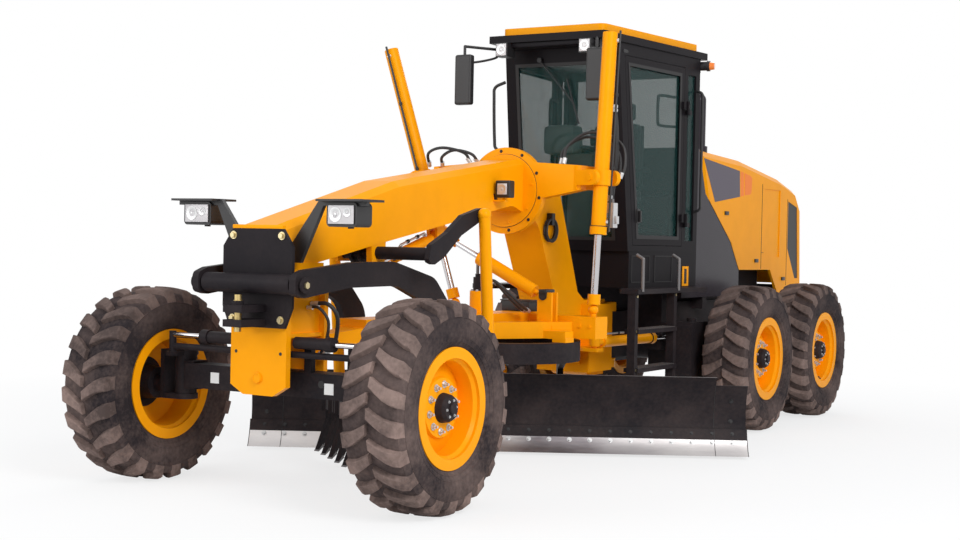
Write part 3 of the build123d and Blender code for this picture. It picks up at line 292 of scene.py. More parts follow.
class Shape:
    """Mesh built up from boxes, bars, plates and turned profiles; paint() sets the finish of what follows."""

    def __init__(self, finish):
        self.bm = bmesh.new()
        self.names, self.slot = [finish], 0

    def _done(self, faces):
        for face in faces:
            face.material_index = self.slot

    def paint(self, finish):
        if finish not in self.names:
            self.names.append(finish)
        self.slot = self.names.index(finish)
        return self

    def box(self, low, high, bevel=0.0, place=STILL):
        low, high = Vector(low), Vector(high)
        size, middle = high - low, (low + high) / 2
        matrix = place @ Matrix.Translation(middle) @ Matrix.Diagonal((*size, 1))
        made = bmesh.ops.create_cube(self.bm, size=1, matrix=matrix)
        faces = {f for v in made["verts"] for f in v.link_faces}
        if bevel:
            edges = list({e for f in faces for e in f.edges})
            out = bmesh.ops.bevel(self.bm, geom=edges, offset=bevel, segments=2, affect="EDGES", profile=0.6)
            faces = set(out["faces"]) | {f for f in faces if f.is_valid}
            stack, seen = list(faces), set(faces)
            while stack:
                for edge in stack.pop().edges:
                    for face in edge.link_faces:
                        if face not in seen:
                            seen.add(face)
                            stack.append(face)
            faces = seen
        self._done(faces)
        return self

    def bar(self, start, end, radius, end_radius=None, sides=16):
        start, end = Vector(start), Vector(end)
        turn = (end - start).to_track_quat("Z", "Y").to_matrix().to_4x4()
        matrix = Matrix.Translation((start + end) / 2) @ turn
        made = bmesh.ops.create_cone(self.bm, cap_ends=True, segments=sides, radius1=radius,
                                     radius2=radius if end_radius is None else end_radius,
                                     depth=(end - start).length, matrix=matrix)
        self._done({f for v in made["verts"] for f in v.link_faces})
        return self

    def ball(self, centre, radius, sides=16):
        made = bmesh.ops.create_uvsphere(self.bm, u_segments=sides, v_segments=sides // 2, radius=radius,
                                         matrix=Matrix.Translation(centre))
        self._done({f for v in made["verts"] for f in v.link_faces})
        return self

    def skin(self, rings, closed=False):
        """Faces between neighbouring rings of points; the first and last are joined (closed) or capped."""
        rings = [[self.bm.verts.new(point) for point in ring] for ring in rings]
        faces = [] if closed else [self.bm.faces.new(rings[0][::-1]), self.bm.faces.new(rings[-1])]
        for one, two in zip(rings, rings[1:] + rings[:1] * closed):
            for k in range(len(one)):
                after = (k + 1) % len(one)
                faces.append(self.bm.faces.new((one[k], one[after], two[after], two[k])))
        self._done(faces)
        return self

    def plate(self, points, thickness, matrix=STILL):
        """Prism of a 2-D outline in matrix's XY plane."""
        return self.skin([[matrix @ Vector((x, y, z)) for x, y in points] for z in (0, thickness)])

    def turned(self, profile, matrix=STILL, sides=64):
        """Solid of revolution round matrix's Z; profile is (radius, height) pairs, and closes on itself."""
        turns = [(math.cos(a), math.sin(a)) for a in (2 * math.pi * k / sides for k in range(sides))]
        rings = [[matrix @ Vector((r * c, r * s, h)) for c, s in turns] for r, h in profile]
        return self.skin(rings, closed=True)

    def tube(self, points, radius, sides=10, smooth=6):
        """Round tube through points, its bends rounded."""
        path = rounded(points, smooth)
        rings, normal = [], None
        for k, point in enumerate(path):
            ahead = (path[min(k + 1, len(path) - 1)] - path[max(k - 1, 0)]).normalized()
            if normal is None:
                normal = ahead.orthogonal().normalized()
            normal = (normal - ahead * normal.dot(ahead)).normalized()
            side = ahead.cross(normal)
            rings.append([point + (normal * math.cos(a) + side * math.sin(a)) * radius
                          for a in (2 * math.pi * s / sides for s in range(sides))])
        return self.skin(rings)

    def mirrored(self):
        """Add the copy on the machine's other side."""
        made = bmesh.ops.duplicate(self.bm, geom=self.bm.faces[:] + self.bm.edges[:] + self.bm.verts[:])
        faces = [g for g in made["geom"] if isinstance(g, bmesh.types.BMFace)]
        for vert in (g for g in made["geom"] if isinstance(g, bmesh.types.BMVert)):
            vert.co.y = -vert.co.y
        bmesh.ops.reverse_faces(self.bm, faces=faces)
        return self

    def mesh(self, name):
        bmesh.ops.remove_doubles(self.bm, verts=self.bm.verts, dist=1e-6)
        bmesh.ops.recalc_face_normals(self.bm, faces=self.bm.faces)
        mesh = bpy.data.meshes.new(name)
        self.bm.to_mesh(mesh)
        self.bm.free()
        for finish in self.names:
            mesh.materials.append(FINISH[finish])
        return mesh


def rounded(points, steps):
    """Smooth path through points: Catmull-Rom, straight at the ends."""
    points = [Vector(p) for p in points]
    padded = [points[0] * 2 - points[1]] + points + [points[-1] * 2 - points[-2]]
    path = []
    for a, b, c, d in zip(padded, padded[1:], padded[2:], padded[3:]):
        for k in range(steps):
            t = k / steps
            path.append(0.5 * (2 * b + (c - a) * t + (2 * a - 5 * b + 4 * c - d) * t * t
                               + (3 * b - a - 3 * c + d) * t ** 3))
    return path + [points[-1]]


# ---------------------------------------------------------------- repeated pieces
PATTERN_INPUTS = (
    # name, type, value unless it is given
    ("Piece", "NodeSocketObject", None),
    ("Count", "NodeSocketInt", 8),
    ("Radius", "NodeSocketFloat", 0.1),
    ("Phase", "NodeSocketFloat", 0.0),
    ("Start", "NodeSocketVector", None),
    ("Step", "NodeSocketVector", None),
    ("Finish", "NodeSocketMaterial", None),
)


def pattern_tree(ring):
    """Geometry Nodes group that repeats an object round a ring or along a line, and its inputs' names."""
    group = bpy.data.node_groups.new("repeat_ring" if ring else "repeat_line", "GeometryNodeTree")
    sockets = {}
    for label, kind, default in PATTERN_INPUTS:
        item = group.interface.new_socket(label, in_out="INPUT", socket_type=kind)
        if default is not None:
            item.default_value = default
        sockets[label] = item.identifier
    group.interface.new_socket("Geometry", in_out="OUTPUT", socket_type="NodeSocketGeometry")
    tree = Tree(group)
    inputs = tree.node("NodeGroupInput")
    given = {label: Val(tree, inputs.outputs[label]) for label in sockets}
    index = tree.value("GeometryNodeInputIndex")
    copies = {"Instance": tree.value("GeometryNodeObjectInfo", None, {"Object": given["Piece"]}, "Geometry")}
    if ring:
        turns = {0: index / given["Count"], 1: 2 * math.pi, 2: given["Phase"]}
        angle = tree.value("ShaderNodeMath", {"operation": "MULTIPLY_ADD"}, turns)
        arm = tree.value("ShaderNodeCombineXYZ", None, {"X": given["Radius"]})
        position = tree.value("ShaderNodeVectorRotate", {"rotation_type": "Z_AXIS"},
                              {"Vector": arm, "Angle": angle})
        copies["Rotation"] = tree.value("ShaderNodeCombineXYZ", None, {"Z": angle})
    else:
        steps = {0: tree.value("ShaderNodeCombineXYZ", None, dict.fromkeys("XYZ", index)), 1: given["Step"],
                 2: given["Start"]}
        position = tree.value("ShaderNodeVectorMath", {"operation": "MULTIPLY_ADD"}, steps)
    points = tree.value("GeometryNodePoints", None, {"Count": given["Count"]})
    copies["Points"] = tree.value("GeometryNodeSetPosition", None, {"Geometry": points, "Position": position})
    row = tree.value("GeometryNodeInstanceOnPoints", None, copies)
    real = tree.value("GeometryNodeRealizeInstances", None, {0: row})
    painted_row = tree.value("GeometryNodeSetMaterial", None, {"Geometry": real, "Material": given["Finish"]})
    tree.node("NodeGroupOutput", None, {0: painted_row})
    return group, sockets


TREES = {}


def repeat(shape, ring, **values):
    """Mesh of a one-finish shape repeated round Z (ring) or along a line, as a plain mesh."""
    if ring not in TREES:
        TREES[ring] = pattern_tree(ring)
    group, sockets = TREES[ring]
    source = bpy.data.objects.new("pattern_source", shape.mesh("pattern_source"))
    host = bpy.data.objects.new("pattern_host", bpy.data.meshes.new("pattern_host"))
    for one in (source, host):
        bpy.context.scene.collection.objects.link(one)
    modifier = host.modifiers.new("repeat", "NODES")
    modifier.node_group = group
    modifier[sockets["Piece"]] = source
    modifier[sockets["Finish"]] = FINISH[shape.names[0]]
    for label, value in values.items():
        modifier[sockets[label]] = value
    evaluated = host.evaluated_get(bpy.context.evaluated_depsgraph_get())
    mesh = bpy.data.meshes.new_from_object(evaluated)
    host.modifiers.clear()
    for one in (host, source):
        bpy.data.objects.remove(one)
    return mesh


def joined(meshes, name):
    """One mesh from several, each (mesh, matrix); materials are kept by slot."""
    whole = bmesh.new()
    names = []
    for mesh, matrix in meshes:
        part = bmesh.new()
        part.from_mesh(mesh)
        part.transform(matrix)
        table = []
        for material in mesh.materials:
            if material not in names:
                names.append(material)
            table.append(names.index(material))
        for face in part.faces:
            face.material_index = table[face.material_index] if table else 0
        if matrix.is_negative:
            bmesh.ops.reverse_faces(part, faces=part.faces)
        scratch = bpy.data.meshes.new("scratch")
        part.to_mesh(scratch)
        part.free()
        whole.from_mesh(scratch)
        bpy.data.meshes.remove(scratch)
    made = bpy.data.meshes.new(name)
    whole.to_mesh(made)
    whole.free()
    for material in names:
        made.materials.append(material)
    return made


# ---------------------------------------------------------------- repeated fastenings
def hex_bolt(size, finish="zinc", stud=0.0):
    """Hexagon head on its washer, standing on XY; with a stud through it when stud is over 0."""
    bolt = Shape(finish).bar((0, 0, -0.001), (0, 0, size * 0.2), size * 1.5, sides=14)
    bolt.bar((0, 0, size * 0.2), (0, 0, size * 1.1), size, sides=6)
    if stud:
        bolt.bar((0, 0, size), (0, 0, size + stud), size * 0.55, sides=10)
    return bolt


def bolt_ring(place, count, radius, size, phase, finish, stud=0.0):
    """Ring round the frame's Z."""
    return repeat(hex_bolt(size, finish, stud), True, Count=count, Radius=radius, Phase=phase), place


def bolt_row(place, count, step, size, finish):
    """Row along the frame's X, centred on its origin."""
    start = (-step * (count - 1) / 2, 0, 0)
    return repeat(hex_bolt(size, finish), False, Count=count, Start=start, Step=(step, 0, 0)), place


# ---------------------------------------------------------------- wheels
AXLES = (("front", 6.110, 1.130), ("middle", 0.769, 1.095), ("rear", -0.769, 1.095))     # name, X, half track
WHEELS = tuple((f"{row}_{side}", x, y * half) for row, x, half in AXLES
               for side, y in (("left", 1), ("right", -1)))
AXLE_HEIGHT = 0.654
DISC = 0.186 - 0.105          # wheel disc's outer face, out from the tyre's middle
HUB_FACE = 0.095              # hub's end, out from the disc
HUB_RADIUS, HUB_FOOT = 0.0935, 0.0305
DRUM_RADIUS, DRUM_FACE = 0.176, -0.0195


def hub_part(x, y):
    """Test for a rim's faces: whether one belongs to the hub or the brake drum."""
    def test(p):
        reach, out = math.hypot(p.x - x, p.z - AXLE_HEIGHT), abs(p.y) - abs(y) - DISC
        return (reach < HUB_RADIUS and out > HUB_FOOT) or (reach < DRUM_RADIUS and out < DRUM_FACE)
    return test


def wheel_matrix(x, y):
    """Wheel's frame: Z out of the machine, origin in the tyre's middle."""
    turn = Matrix.Rotation(-math.copysign(math.pi / 2, y), 4, "X")
    return Matrix.Translation((x, y, AXLE_HEIGHT)) @ turn


def lug_shape(top, height, side):
    """Slanted bar from near the tread's middle over the shoulder, in the ring's frame: X out, Z across."""
    shape = Shape("tread")
    rows = (
        # across, along the rim at that place, top radius, half width
        (0.004, -0.012, top, 0.030),
        (0.060, 0.024, top, 0.035),
        (0.110, 0.052, top - 0.002, 0.040),
        (0.156, 0.068, top - 0.007, 0.044),
        (0.192, 0.074, top - 0.022, 0.045),
        (0.209, 0.076, top - 0.088, 0.040),
    )
    sunk, slope, chamfer = 0.020, 0.006, 0.0045
    rings = []
    for across, along, radius, half in rows:
        loop = []
        for reach, y in ((radius - height - sunk, along - half - slope), (radius, along - half),
                         (radius, along + half), (radius - height - sunk, along + half + slope)):
            # the top follows the tread's round
            loop.append((math.sqrt(reach ** 2 - y ** 2) - top, y, side * across))
        rings.append(loop)
    shape.skin(rings)
    high = [e for e in shape.bm.edges if min(v.co.x for v in e.verts) > -0.035]
    bmesh.ops.bevel(shape.bm, geom=high, offset=chamfer, segments=1, affect="EDGES")
    return shape


def tyre_mesh(sizes):
    """Carcass with its slanted lugs, in a wheel's frame."""
    top, height, count = sizes.tyre_radius, sizes.lug_height, sizes.lug_count
    base = top - height
    carcass = Shape("rubber")
    half = [
        # radius and half width, from the bead over the side wall to the tread's middle
        (0.319, 0.164), (0.352, 0.168), (0.372, 0.176), (0.384, 0.190), (0.410, 0.203), (0.450, 0.2125),
        (0.490, 0.2145), (0.530, 0.2115), (0.560, 0.207), (0.580, 0.203), (0.584, 0.2005), (0.600, 0.192),
        (base - 0.012, 0.170), (base - 0.003, 0.120), (base, 0.060),
    ]
    carcass.turned(half + [(r, -h) for r, h in reversed(half)], sides=96)
    rib = 0.002
    for low, depth in ((0.398, 0.2005), (0.430, 0.2085), (0.545, 0.2098)):
        for side in (-1, 1):
            foot, crest = side * (depth - rib), side * (depth + rib)
            carcass.turned([(low, foot), (low + rib, crest), (low + 3 * rib, crest), (low + 4 * rib, foot)],
                           sides=96)
    parts = [(carcass.mesh("carcass"), STILL)]
    for side, phase in ((1, 0.0), (-1, math.pi / count)):
        lugs = repeat(lug_shape(top, height, side), True, Count=count, Radius=top, Phase=phase)
        parts.append((lugs, STILL))
    return joined(parts, "tyre")


def rim_dress(cap_bolts):
    """Wheel nuts, hub cap, valve and bead groove of a rim, in a wheel's frame."""
    face = DISC + HUB_FACE
    hub = Shape("dark").turned([(0.0005, face + 0.017), (0.030, face + 0.017), (0.034, face + 0.013),
                                (0.034, face - 0.003), (0.0005, face - 0.003)], sides=24)
    caps = bolt_ring(Matrix.Translation((0, 0, face - 0.0008)), cap_bolts, 0.052, 0.006, 0.1, "silver")
    nuts = bolt_ring(Matrix.Translation((0, 0, DISC + 0.0255)), 10, 0.142, 0.0155, 0.2, "silver", stud=0.018)
    valve = Shape("dark").box((0.262, -0.020, 0.100), (0.284, 0.020, 0.150), bevel=0.004)
    valve.bar((0.283, 0, 0.10), (0.283, 0, 0.165), 0.006, sides=10)
    groove = Shape("shadow").turned([(0.3105, 0.1755), (0.3125, 0.1765), (0.3145, 0.1755), (0.3125, 0.1745)])
    return joined([(hub.mesh("hub"), STILL), caps, nuts, (valve.mesh("valve"), STILL),
                   (groove.mesh("groove"), STILL)], "rim_dress")


# ---------------------------------------------------------------- dressing
def hose(*points, radius=None, shape=None):
    """Hose held at both ends, with a crimped ferrule at each."""
    radius = radius or settings()[0].hose
    shape = (shape or Shape("hose")).paint("hose").tube(points, radius)
    shape.paint("silver")
    for end, near in ((points[0], points[1]), (points[-1], points[-2])):
        end, near = Vector(end), Vector(near)
        shape.bar(end, end + (near - end).normalized() * radius * 4.0, radius * 1.4, sides=12)
    return shape


LENS_PROUD = 0.006


def lamp(shape, low, high, normal, inset=0.018, cups=((0.5, 0.5, 0.42),)):
    """Lens and reflector cups on the front of a lamp box: normal is +1 or -1 along X."""
    x = high[0] if normal > 0 else low[0]
    width, tall = high[1] - low[1] - 2 * inset, high[2] - low[2] - 2 * inset
    y, z = low[1] + inset, low[2] + inset
    back, front = sorted((x, x + normal * LENS_PROUD))
    shape.paint("lens").box((back, y, z), (front, y + width, z + tall), bevel=0.002)
    shape.paint("silver")
    for across, up, share in cups:
        place = facing((x + normal * LENS_PROUD, y + width * across, z + tall * up), (normal, 0, 0))
        radius = tall * share
        shape.turned([(radius * 0.99, 0.000), (radius, 0.0035), (radius * 0.86, 0.0035),
                      (radius * 0.50, 0.0010), (radius * 0.48, 0.000)], place, sides=28)
        shape.turned([(0.0004, 0.005), (radius * 0.20, 0.004), (radius * 0.24, 0.000), (0.0004, 0.000)],
                     place, sides=16)
    return shape


class Dressing(bpy.types.Operator):
    """A group of pieces"""
    bl_options = {"REGISTER", "UNDO"}

    def execute(self, context):
        self.build()
        return {"FINISHED"}


class GRADER_OT_finishes(Dressing):
    """Make the finishes and give the frame's solids theirs"""
    bl_idname = "grader.finishes"
    bl_label = "Finishes"

    def build(self):
        FINISH.update(make_finishes(settings()[1]))
        for name, solid in NODES.items():
            data = solid.data
            data.materials.clear()
            data.materials.append(FINISH[SOLID_FINISH.get(name, "yellow")])
            data.shade_smooth()
            data.set_sharp_from_angle(angle=math.radians(SOLID_SMOOTH))
            for finish, test in SPLIT.get(name, ()):
                data.materials.append(FINISH[finish])
                for face in data.polygons:
                    if test(face.center + ORIGIN):
                        face.material_index = len(data.materials) - 1


SOLID_SMOOTH = 32                 # degrees up to which a solid's edge is shaded round
SOLID_FINISH = {
    # node: finish, where it isn't yellow
    **dict.fromkeys((
        "engine", "blade_edge", "platform", "front_axle", "head_plate", "circle", "blade", "scarifier",
        "scarifier_shaft", "drawbar_ball", "blade_tilt", "knuckle_left", "knuckle_right", "rear_axle",
        "steering_links", "rear_rails", "rear_frame"), "dark"),
    **dict.fromkeys((
        "lift_rod_left", "lift_rod_right", "shift_rod", "tip_rod", "articulation_rod_left",
        "articulation_rod_right", "scarifier_rod"), "rod"),
    **dict.fromkeys(("cab_frame", "door_left", "door_right"), "cab"),
    **dict.fromkeys(("cab_glass", "door_glass_left", "door_glass_right"), "glass"),
    **dict.fromkeys(("mirrors_and_lamps", "headlamps"), "plastic"),
    "seat": "cloth", "console": "grey", "grille": "mesh", "shroud": "cowl",
}
SHIFT_TIP = Vector((3.486, -0.520, 1.726))
SPLIT = {
    # node: (finish, which of its faces), from the face's middle in the machine's frame
    "cab_roof": (("cab", lambda p: p.z < 3.4025),),
    "shift_rod": (("yellow", lambda p: (p - SHIFT_TIP).length < 0.197),),
    **dict.fromkeys(("lift_rod_left", "lift_rod_right"), (("yellow", lambda p: p.z < 1.30),)),
    "headlamps": (("yellow", lambda p: p.x < 4.2 and p.z < 1.995),),
    "console": (("plastic", lambda p: abs(p.y) > 0.115 or p.z > 2.352),),
    "platform": (("worn", lambda p: p.z > 1.30),),
    "steering_links": (("rod", lambda p: p.z > 0.98 and abs(p.y) < 0.775),),
    **{f"rim_{name}": (("dark", hub_part(x, y)),) for name, x, y in WHEELS},
}


class GRADER_OT_wheels(Dressing):
    """Tyres with lugs, and the rims' bolts, hubs and valves"""
    bl_idname = "grader.wheels"
    bl_label = "Wheels"

    def build(self):
        tyre = tyre_mesh(settings()[0])
        hubs = {"front": rim_dress(6), "middle": rim_dress(8)}
        hubs["rear"] = hubs["middle"]
        for place, (name, x, y) in enumerate(WHEELS):
            # each wheel stands turned by another angle
            stand = wheel_matrix(x, y) @ Matrix.Rotation(0.37 * place, 4, "Z")
            dress(f"tread_{name}", f"wheel_{name}", (tyre, stand), replaces=[f"tyre_{name}"], slot="tyre")
            dress(f"hub_{name}", f"wheel_{name}", (hubs[name.split("_")[0]], stand))


HEAD_FACE, AXLE_FACE, NOSE_FACE = 6.3695, 6.1895, 6.344      # X of the faces that fastenings stand on
TOW_PIN = Vector((6.545, 0, 0))
LAMP_BACK, LAMP_WIDTH = 6.12, 0.23


class GRADER_OT_head(Dressing):
    """Head plate's bolts, tow pin, front lamps, axle plates and the nose's hoses"""
    bl_idname = "grader.head"
    bl_label = "Head"

    def build(self):
        bolts = [(hex_bolt(settings()[0].bolt_head * 1.15).mesh("bolt"), facing((HEAD_FACE, y, z), (1, 0, 0)))
                 for y in (-0.195, 0.195) for z in (1.668, 1.142)]
        pin = Shape("brass")
        for low, high, radius in ((1.070, 1.300, 0.0228), (1.252, 1.266, 0.029)):
            pin.bar(TOW_PIN + Vector((0, 0, low)), TOW_PIN + Vector((0, 0, high)), radius, sides=24)
        dress("head_fastenings", "front_frame", pin, *bolts, slot="steel")
        trim = Shape("yellow").box((6.3455, -0.204, 1.7115), (6.371, 0.204, 1.736), bevel=0.003)
        dress("head_strip", "front_frame", trim, slot="yellow")
        lamps = Shape("plastic")
        for y in (0.47, -0.70):
            # each lamp has a narrow turn light beside its main cup
            lamp(lamps, (LAMP_BACK, y, 1.73), (LAMP_BACK + 0.165, y + LAMP_WIDTH, 1.88), 1,
                 cups=((0.30, 0.5, 0.40), (0.76, 0.62, 0.24)))
            foot = Vector((LAMP_BACK + 0.06, y + LAMP_WIDTH / 2, 1.72))
            lamps.paint("plastic").bar(foot, foot + Vector((0, 0, 0.015)), 0.02)
        lamp(lamps, (3.728, 0.192, 1.996), (3.808, 0.324, 2.128), 1, inset=0.024)
        dress("front_lamps", "front_frame", lamps, slot="glass")
        self.plates()
        loom = hose((6.05, 0.185, 1.235), (6.03, 0.30, 1.240), (5.99, 0.350, 1.16), (5.98, 0.335, 1.02),
                    (5.99, 0.30, 0.95), (6.02, 0.26, 0.905), radius=0.014)
        hose((6.09, 0.185, 1.215), (6.08, 0.27, 1.215), (6.05, 0.325, 1.13), (6.05, 0.31, 1.00),
             (6.05, 0.28, 0.94), (6.06, 0.24, 0.90), radius=0.010, shape=loom)
        dress("steering_hoses", "front_frame", loom.mirrored(), slot="plastic")

    def plates(self):
        """Blank plates and plugs on the axle and the nose."""
        marks, proud, half = Shape("white"), 0.003, 0.036
        for y, z in ((-0.490, 0.727), (0.446, 0.716)):
            marks.box((AXLE_FACE, y - half, z - 0.035), (AXLE_FACE + proud, y + half, z + 0.035))
        marks.paint("shadow")
        for y in (-0.180, 0.180):
            marks.bar((NOSE_FACE, y, 0.930), (NOSE_FACE + 0.0025, y, 0.930), 0.011)
        marks.bar((AXLE_FACE, 0.385, 0.742), (AXLE_FACE + proud, 0.385, 0.742), 0.024)
        marks.paint("yellow").turned([(0.026, 0), (0.026, proud), (0.031, proud), (0.031, 0)],
                                     facing((6.357, 0, 0.770), (1, 0, 0)), sides=32)
        dress("axle_plates", "front_frame", marks, slot="plastic")


SADDLE_Z = 2.068
SADDLE_LOOPS = (
    # hose loops over the saddle, the left pair and then the right pair
    ((3.20, 0.46, 2.285), (3.17, 0.47, 2.42), (3.11, 0.60, 2.53), (3.10, 0.78, 2.52), (3.11, 0.93, 2.42),
     (3.13, 0.96, 2.27), (3.15, 0.93, 2.17)),
    ((3.16, 0.41, 2.285), (3.13, 0.42, 2.40), (3.07, 0.56, 2.50), (3.06, 0.74, 2.48), (3.07, 0.87, 2.38),
     (3.09, 0.90, 2.25), (3.12, 0.88, 2.17)),
    ((3.38, -0.30, 2.29), (3.42, -0.34, 2.37), (3.46, -0.52, 2.41), (3.42, -0.68, 2.37), (3.34, -0.72, 2.27)),
    ((3.34, -0.25, 2.29), (3.40, -0.28, 2.36), (3.44, -0.42, 2.39), (3.40, -0.56, 2.34), (3.33, -0.60, 2.27)),
)


class GRADER_OT_saddle(Dressing):
    """Saddle ring's disc seam and bolts, and the hose loops round the saddle"""
    bl_idname = "grader.saddle"
    bl_label = "Saddle"

    def build(self):
        faces = ((3.330, 1), (3.342, 1), (3.270, -1))
        front, disc, rear = (facing((x, 0, SADDLE_Z), (way, 0, 0)) for x, way in faces)
        near, far, sunk, proud = 0.2880, 0.2935, -0.002, 0.0012
        seam = Shape("shadow")
        seam.turned([(near, sunk), (near, proud), (far, proud), (far, sunk)], front, sides=96)
        dress("saddle_disc", "front_frame", seam, bolt_ring(disc, 8, 0.255, 0.009, 0.2, "yellow"),
              bolt_ring(front, 10, 0.318, 0.009, 0.45, "shadow"),
              bolt_ring(rear, 12, 0.318, 0.010, 0.1, "yellow"))
        loops = Shape("hose")
        for route in SADDLE_LOOPS:
            hose(*route, shape=loops)
        self.coil(loops)
        dress("saddle_hoses", "front_frame", loops, slot="plastic")

    def coil(self, shape):
        """Spare hose hung on the leg's left side, and its hook."""
        middle, radius = Vector((2.917, 0.186, 1.760)), 0.088
        for lift, grow in ((0.0, 1.0), (0.014, 0.93), (0.024, 1.04)):
            turn = [middle + Vector((math.cos(a) * radius * grow, lift, math.sin(a) * radius * grow))
                    for a in (0.4 + 2 * math.pi * k / 9 for k in range(10))]
            shape.paint("hose").tube(turn, 0.010, smooth=4)
        shape.paint("plastic").box((2.893, 0.170, 1.80), (2.941, 0.225, 1.90), bevel=0.006)


RAMS = (
    # body, foot of the barrel, a point on its line, barrel's start and end from the foot, its radius, and the
    # side its pipe lies on
    ("lift_barrel_left", (3.2633, 0.826, 2.17), (3.3148, 0.8071, 1.148), -1.13, 0.44, 0.058, (-0.4, 1, 0)),
    ("lift_barrel_right", (3.263, -0.826, 2.17), (3.2342, -0.5104, 1.148), -1.13, 0.44, 0.058, (1, 0.1, 0)),
    ("shift_barrel", (3.4856, 0.4861, 1.225), SHIFT_TIP, 0.115, 0.685, 0.052, (-1, 0, 0.3)),
    ("scarifier_barrel", (4.330, 0, 1.690), (5.205, 0, 1.440), 0.08, 0.56, 0.040, (0, 0, 1)),
    *((f"articulation_barrel_{side}", (2.5, y * 0.410, 0.835), (1.13, y * 0.480, 0.835), 0.11, 1.01, 0.045,
       (0, 0, 1)) for side, y in (("left", 1), ("right", -1))),
)
PIPE_RADIUS, PIPE_GAP = 0.009, 0.020
GLAND_PROUD = 0.0095


def pipe_on_ram(start, end, radius, away, finish):
    """Steel pipe along a barrel between a port near each end, with clips, unions and the gland's ring."""
    away = Vector(away)
    along = (end - start).normalized()
    away = (away - along * away.dot(along)).normalized()
    off = away * (radius + PIPE_GAP)
    low, high, bend = start + along * 0.06, end - along * 0.10, along * 0.03
    shape = Shape(finish)
    shape.tube([low + away * radius, low + off * 0.98, low + bend + off, high - bend + off, high + off * 0.98,
                high + away * radius], PIPE_RADIUS, smooth=5)
    shape.paint("silver")
    for port in (low, high):
        shape.bar(port + away * (radius - 0.004), port + away * (radius + 0.014), 0.017, sides=6)
    shape.paint("shadow")
    for share in (0.3, 0.7):
        clip = low.lerp(high, share) + off
        shape.bar(clip - along * 0.012, clip + along * 0.012, 0.014)
    shape.bar(end - along * 0.003, end + along * 0.004, radius * 0.70, sides=32)
    shape.bar(end - along * 0.066, end - along * 0.062, radius + GLAND_PROUD, sides=40)
    return shape


class GRADER_OT_cylinders(Dressing):
    """Pipes and glands of the hydraulic cylinders"""
    bl_idname = "grader.cylinders"
    bl_label = "Cylinders"

    def build(self):
        for body, foot, far, start, stop, radius, away in RAMS:
            foot, far = Vector(foot), Vector(far)
            along = (far - foot).normalized()
            shape = pipe_on_ram(foot + along * start, foot + along * stop, radius, away,
                                "hose" if "lift" in body else "silver")
            if body == "lift_barrel_left":
                valve_block(shape)
            dress(f"{body}_pipe", body, shape, slot="steel")


def valve_block(shape):
    """Load-holding valve behind the left lift cylinder, with its hoses going up to the trunnion."""
    shape.paint("silver").box((3.125, 0.826, 1.785), (3.200, 0.905, 1.980), bevel=0.006)
    shape.box((3.150, 0.900, 1.815), (3.190, 0.930, 1.875), bevel=0.004)
    for z in (1.815, 1.860, 1.905, 1.950):
        shape.bar((3.110, 0.850, z), (3.135, 0.850, z), 0.013, sides=6)
    shape.paint("worn").bar((3.160, 0.870, 1.975), (3.160, 0.870, 2.010), 0.020, sides=6)
    shape.box((3.190, 0.830, 1.860), (3.235, 0.860, 1.900), bevel=0.003)
    shape.bar((3.165, 0.850, 1.755), (3.165, 0.850, 1.795), 0.012, sides=6)
    for step in (0, 0.03):
        top = 2.70 + step
        hose((3.160 - step, 0.850, 1.990 - step * 4 / 3), (3.155 - step, 0.870, 2.15),
             (3.145 - step, 0.885, 2.35), (3.150 - step * 2 / 3, 0.880, 2.62),
             (3.165, 0.872, top), (3.185, 0.862, top), shape=shape)


BLADE = Matrix.Translation((3.52407, 0.13308, 0)) @ Matrix.Rotation(math.radians(31), 4, "Z")
BLADE_CURVE = Vector((0.36374, 0.327))       # centre of the moldboard's curve: ahead, up
EDGE_BOLT_STEP = 0.160


def blade_front(height, radius):
    """Point on a curve round the moldboard's centre: (ahead, up)."""
    return BLADE_CURVE.x - math.sqrt(radius ** 2 - (height - BLADE_CURVE.y) ** 2), height


def blade_face(y, height, radius):
    """Frame standing on the blade's front, in the machine's frame."""
    ahead, up = blade_front(height, radius)
    return BLADE @ facing((ahead, y, up), (BLADE_CURVE.x - ahead, 0, BLADE_CURVE.y - up))


def blade_strip(shape, y, width, heights, radii):
    """Strip of the blade's curve, from y back by width, between two radii."""
    near, far = radii
    outline = [blade_front(z, near) for z in heights] + [blade_front(z, far) for z in reversed(heights)]
    shape.plate(outline, width, BLADE @ Matrix.Translation((0, y, 0)) @ Matrix.Rotation(math.pi / 2, 4, "X"))


class GRADER_OT_blade(Dressing):
    """Polished cutting edge, its bolts, the end bits' seams and the wear on the moldboard's top"""
    bl_idname = "grader.blade"
    bl_label = "Blade"

    def build(self):
        polished, trim, worn_top = Shape("steel"), Shape("shadow"), 0.6315
        blade_strip(polished, 1.922, 3.904, (0.0225, 0.05, 0.08, 0.11, 0.138), (0.4020, 0.4045))
        for y in (-1.730, 1.670):
            blade_strip(trim, y, 0.004, (0.0225, 0.09, 0.15, 0.215), (0.4012, 0.4045))
            blade_strip(trim, y, 0.004, (0.223, 0.32, 0.42, 0.52, 0.564), (0.4185, 0.4210))
        trim.paint("worn").box((0.0445, -1.73, worn_top), (0.0745, 1.67, worn_top + 0.002), place=BLADE)
        ends = [(hex_bolt(0.012, "shadow").mesh("bolt"), blade_face(y, z, 0.42)) for y in (-1.86, 1.80)
                for z in (0.28, 0.44)]
        edge_bolts = bolt_row(blade_face(-0.03, 0.118, 0.4020), 24, EDGE_BOLT_STEP, 0.013, "silver")
        plate_bolts = bolt_row(blade_face(-0.03, 0.185, 0.404), 24, EDGE_BOLT_STEP, 0.010, "shadow")
        dress("blade_wear", "blade", polished, edge_bolts, slot="steel")
        dress("blade_seams", "blade", trim, plate_bolts, *ends, slot="steel")


